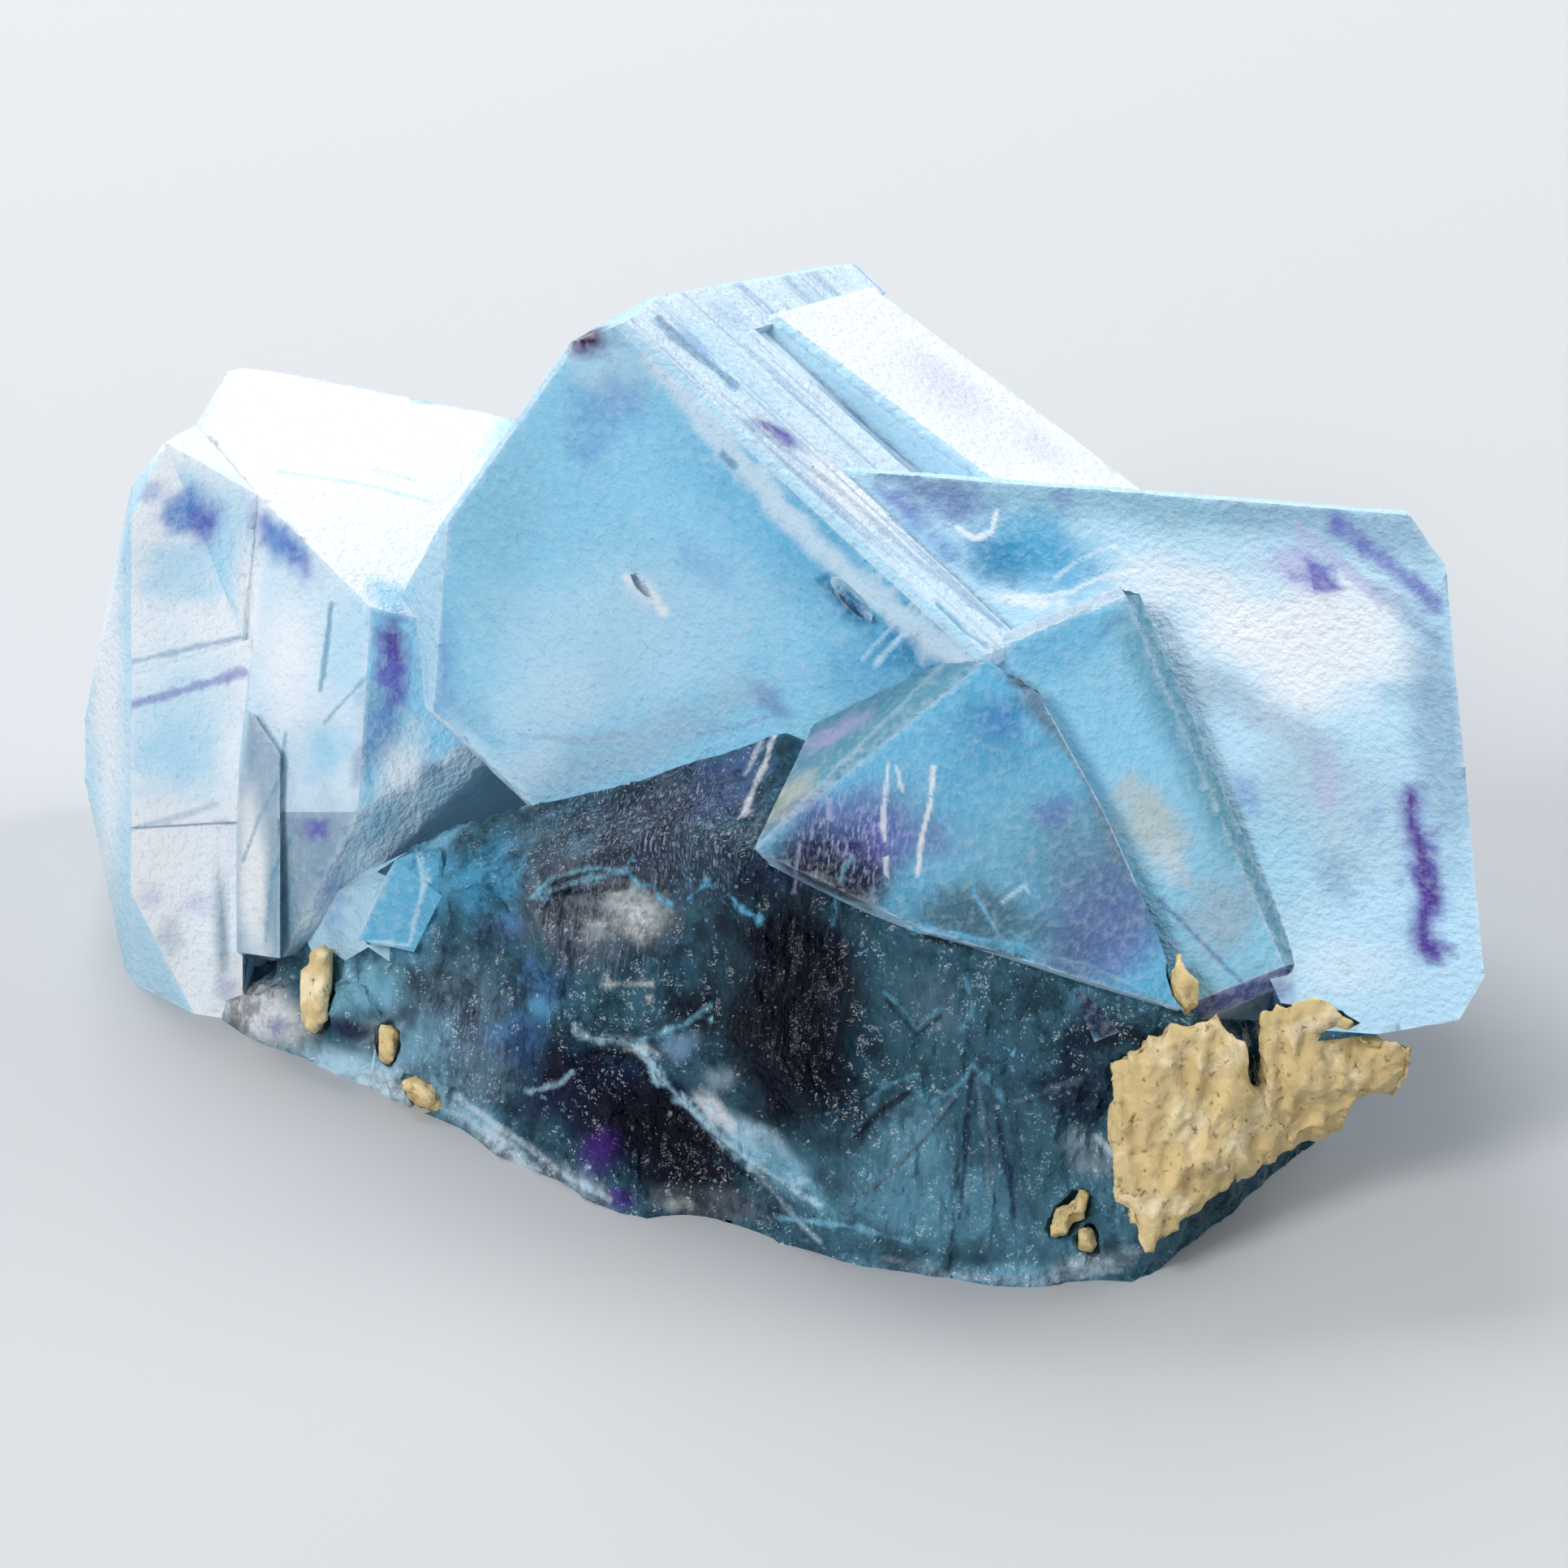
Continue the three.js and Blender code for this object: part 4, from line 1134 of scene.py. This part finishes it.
# how the colours are laid on
laying = {
    "base": "ice",            # colour of the faces that aren't listed
    "breaks": "greyTeal",     # and of the breaks
    "broad": 0.45,            # broad waves in a colour's border to the mm, about
    "fine": 1.5,              # and fine ones
    "washFade": (0.3, 1.25),  # where a wash starts to fade and where it ends, in half widths
    "streakFade": (0.4, 1.3),
    "ledgeFade": (0.3, 1.1),
    "ledges": 0.85,           # strength of the colour on the crests
    "edges": 0.22,            # and of the painted white highlight along the worn crystal edges
    # zoning on the faces turned away: colour, strength, and the noise it starts and ends at
    "zoning": [("pool", 0.5, -0.1, 0.5), ("blue", 0.5, 0.35, 0.75)],
}


def smoothStep(value, low, high):
    share = np.clip((value - low) / (high - low), 0, 1)
    return share * share * (3 - 2 * share)


def layColours(piece):
    data = piece.data
    points = np.empty(len(data.vertices) * 3)
    data.vertices.foreach_get("co", points)
    points = points.reshape(-1, 3)
    broad = np.array([noise.fractal(Vector(p) / mm * laying["broad"], 0.8, 2.1, 3) for p in points])
    fine = np.array([noise.fractal(Vector(p) / mm * laying["fine"], 0.7, 2.1, 3) for p in points])
    turned = np.empty(len(data.vertices) * 3)
    data.vertices.foreach_get("normal", turned)
    turned = turned.reshape(-1, 3) @ np.array(outward)
    points = facedArray(points)
    corner = np.empty(len(data.loops), int)
    data.loops.foreach_get("vertex_index", corner)
    kinds = np.empty(len(data.polygons), int)
    data.attributes["kind"].data.foreach_get("value", kinds)
    kind = np.repeat(kinds, 3)
    numbers = {name: number for number, name in enumerate(crystalFaces, 1)}
    numbers["break"] = -1
    tint = np.ones((len(corner), 4))
    tint[:, :3] = colours[laying["base"]]
    tint[kind == -1, :3] = colours[laying["breaks"]]
    for name, face in crystalFaces.items():
        tint[kind == numbers[name], :3] = colours[face["colour"]]

    hidden = smoothStep(-turned, -0.2, 0.2)[corner] * (kind >= 0)
    for colour, strength, low, high in laying["zoning"]:
        zoned = hidden * smoothStep(broad, low, high)[corner] * strength
        tint[:, :3] += zoned[:, None] * (np.array(colours[colour]) - tint[:, :3])

    def fade(reach, limits, width=1):
        return 1 - smoothStep(reach, limits[0] * width, limits[1] * width)

    def lay(weight, colour, strength, face):
        share = (weight * strength)[corner]
        if face:
            share = share * (kind == numbers[face])
        tint[:, :3] += share[:, None] * (np.array(colours[colour]) - tint[:, :3])

    for colour, strength, place, wide, tall, turn, face in washes:
        away = points - onCluster(*place)
        turnSin, turnCos = math.sin(math.radians(turn)), math.cos(math.radians(turn))
        along = (away[:, 0] * turnCos + away[:, 1] * turnSin) / wide
        aside = (away[:, 1] * turnCos - away[:, 0] * turnSin) / tall
        depth = away[:, 2] / max(wide, tall, 1.2) / (1.6 if face else 1.0)
        uneven = broad * 0.3 if max(wide, tall) > 2 else broad * 0.15 + fine * 0.4
        reach = np.sqrt(along ** 2 + aside ** 2 + depth ** 2) + uneven
        lay(fade(reach, laying["washFade"]), colour, strength, face)
    for colour, strength, width, line, face in streaks:
        away = lineDistance(points, densify(line)) * (1 + 0.6 * fine)
        lay(fade(away, laying["streakFade"], width), colour, strength, face)
    for name, (height, width, colour, line) in ledges.items():
        away = lineDistance(points, ledgeLines[name]) * (1 + 0.9 * fine)
        lay(fade(away, laying["ledgeFade"], width), colour, laying["ledges"], "")

    # painted highlight: white laid along the crystal edges
    edges = np.empty(len(data.vertices), int)
    data.attributes["edge"].data.foreach_get("value", edges)
    lay(edges * 1.0, "snow", laying["edges"], "")

    def spread(places):
        total = np.zeros(len(points))
        for strength, place, wide, tall in places:
            away = points - onCluster(*place)
            reach = np.sqrt((away[:, 0] / wide) ** 2 + (away[:, 1] / tall) ** 2) + 0.3 * fine
            total = np.maximum(total, strength * (1 - smoothStep(reach, 0.4, 1.25)) * (abs(away[:, 2]) < 4))
        return total[corner]

    wear = np.zeros((len(corner), 4))
    wear[:, 0] = np.where(kind >= 0, 0.6, 0)
    wear[:, 1] = np.where(kind < 0, 1 - spread(calmPlaces), 0)
    wear[:, 2] = spread(fibrousPlaces)
    wear[:, 3] = np.where(kind >= 0, 0.5 * smoothStep(-turned, -0.1, 0.3)[corner], 0)
    wear[kind == numbers["steps"], 3] = 1
    for name, values in (("tint", tint), ("wear", wear)):
        attribute = data.color_attributes.new(name, "FLOAT_COLOR", "CORNER")
        attribute.data.foreach_set("color", values.ravel())


layColours(fluorite)
print("colours laid on")

# the matrix and its grains

matrixShape = {
    "cut": 0.17,   # mm between the cuts that make it finer
    "grit": 0.2,   # mm, how far its surface is rough
    "grains": 2.6,                      # grains to the mm, about
    "flakes": Vector((1.5, 0.5, 0.4)),  # flakes to the mm along X, Y and Z
}


def buildMatrix(node):
    mesh = mergedCopy(node)
    cutFiner(mesh, mesh.faces, [(way, matrixShape["cut"]) for way in (across, upward, outward)])
    makeTriangles(mesh)
    mesh.normal_update()
    for vertex in mesh.verts:
        grit = noise.fractal(vertex.co / mm * matrixShape["grains"], 1.1, 2.1, 3)
        flake = abs(noise.noise(vertex.co * matrixShape["flakes"] / mm))
        vertex.co += vertex.normal * matrixShape["grit"] * mm * (0.6 * grit + 0.5 - 2.6 * flake)
    keepInside(mesh, node)
    return finishPiece(mesh, node.replace("matrix_", "tan"), stone, node)


for node in sorted(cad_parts):
    if node.startswith("matrix_"):
        buildMatrix(node)
print("matrix made")

# floor, light and camera

studio = {
    "floor": srgb(176, 178, 180),
    "world": srgb(205, 212, 222),
    "worldStrength": 0.60,
    "backLight": 1.3,
    "sideLight": 0.7,
    "frontFill": 1.3,
}


def makeFloor():
    mesh = bmesh.new()
    bmesh.ops.create_grid(mesh, x_segments=2, y_segments=2, size=1.5)
    data = bpy.data.meshes.new("floor")
    mesh.to_mesh(data)
    mesh.free()
    floor = bpy.data.objects.new("floor", data)
    bpy.context.scene.collection.objects.link(floor)
    material, tree, shader = newMaterial("paleFloor")
    shader.inputs["Base Color"].default_value = (*studio["floor"], 1)
    shader.inputs["Roughness"].default_value = 0.8
    data.materials.append(material)


def makeLight(name, place, size):
    lamp = bpy.data.lights.new(name, "AREA")
    lamp.energy = studio[name]
    lamp.size = size
    light = bpy.data.objects.new(name, lamp)
    light.location = place
    light.rotation_euler = (Vector((0, 0, 0.008)) - Vector(place)).to_track_quat("-Z", "Y").to_euler()
    bpy.context.scene.collection.objects.link(light)


makeFloor()
makeLight("backLight", (-0.10, 0.26, 0.26), 0.20)
makeLight("sideLight", (0.28, 0.10, 0.22), 0.18)
makeLight("frontFill", (-0.22, -0.26, 0.30), 0.14)

world = bpy.data.worlds.new("studio")
world.use_nodes = True
world.node_tree.nodes["Background"].inputs["Color"].default_value = (*studio["world"], 1)
world.node_tree.nodes["Background"].inputs["Strength"].default_value = studio["worldStrength"]
bpy.context.scene.world = world
bpy.context.scene.view_settings.view_transform = "Standard"

camera = bpy.data.objects.new("camera", bpy.data.cameras.new("camera"))
camera.data.lens = facing["lens"]
camera.data.sensor_width = 36
camera.data.clip_start = 0.01
camera.data.clip_end = 10
camera.location = rowPoint(eye)
camera.rotation_euler = Euler((math.radians(90 - facing["tilt"]), 0, 0))
bpy.context.scene.collection.objects.link(camera)
bpy.context.scene.camera = camera
print("studio set")
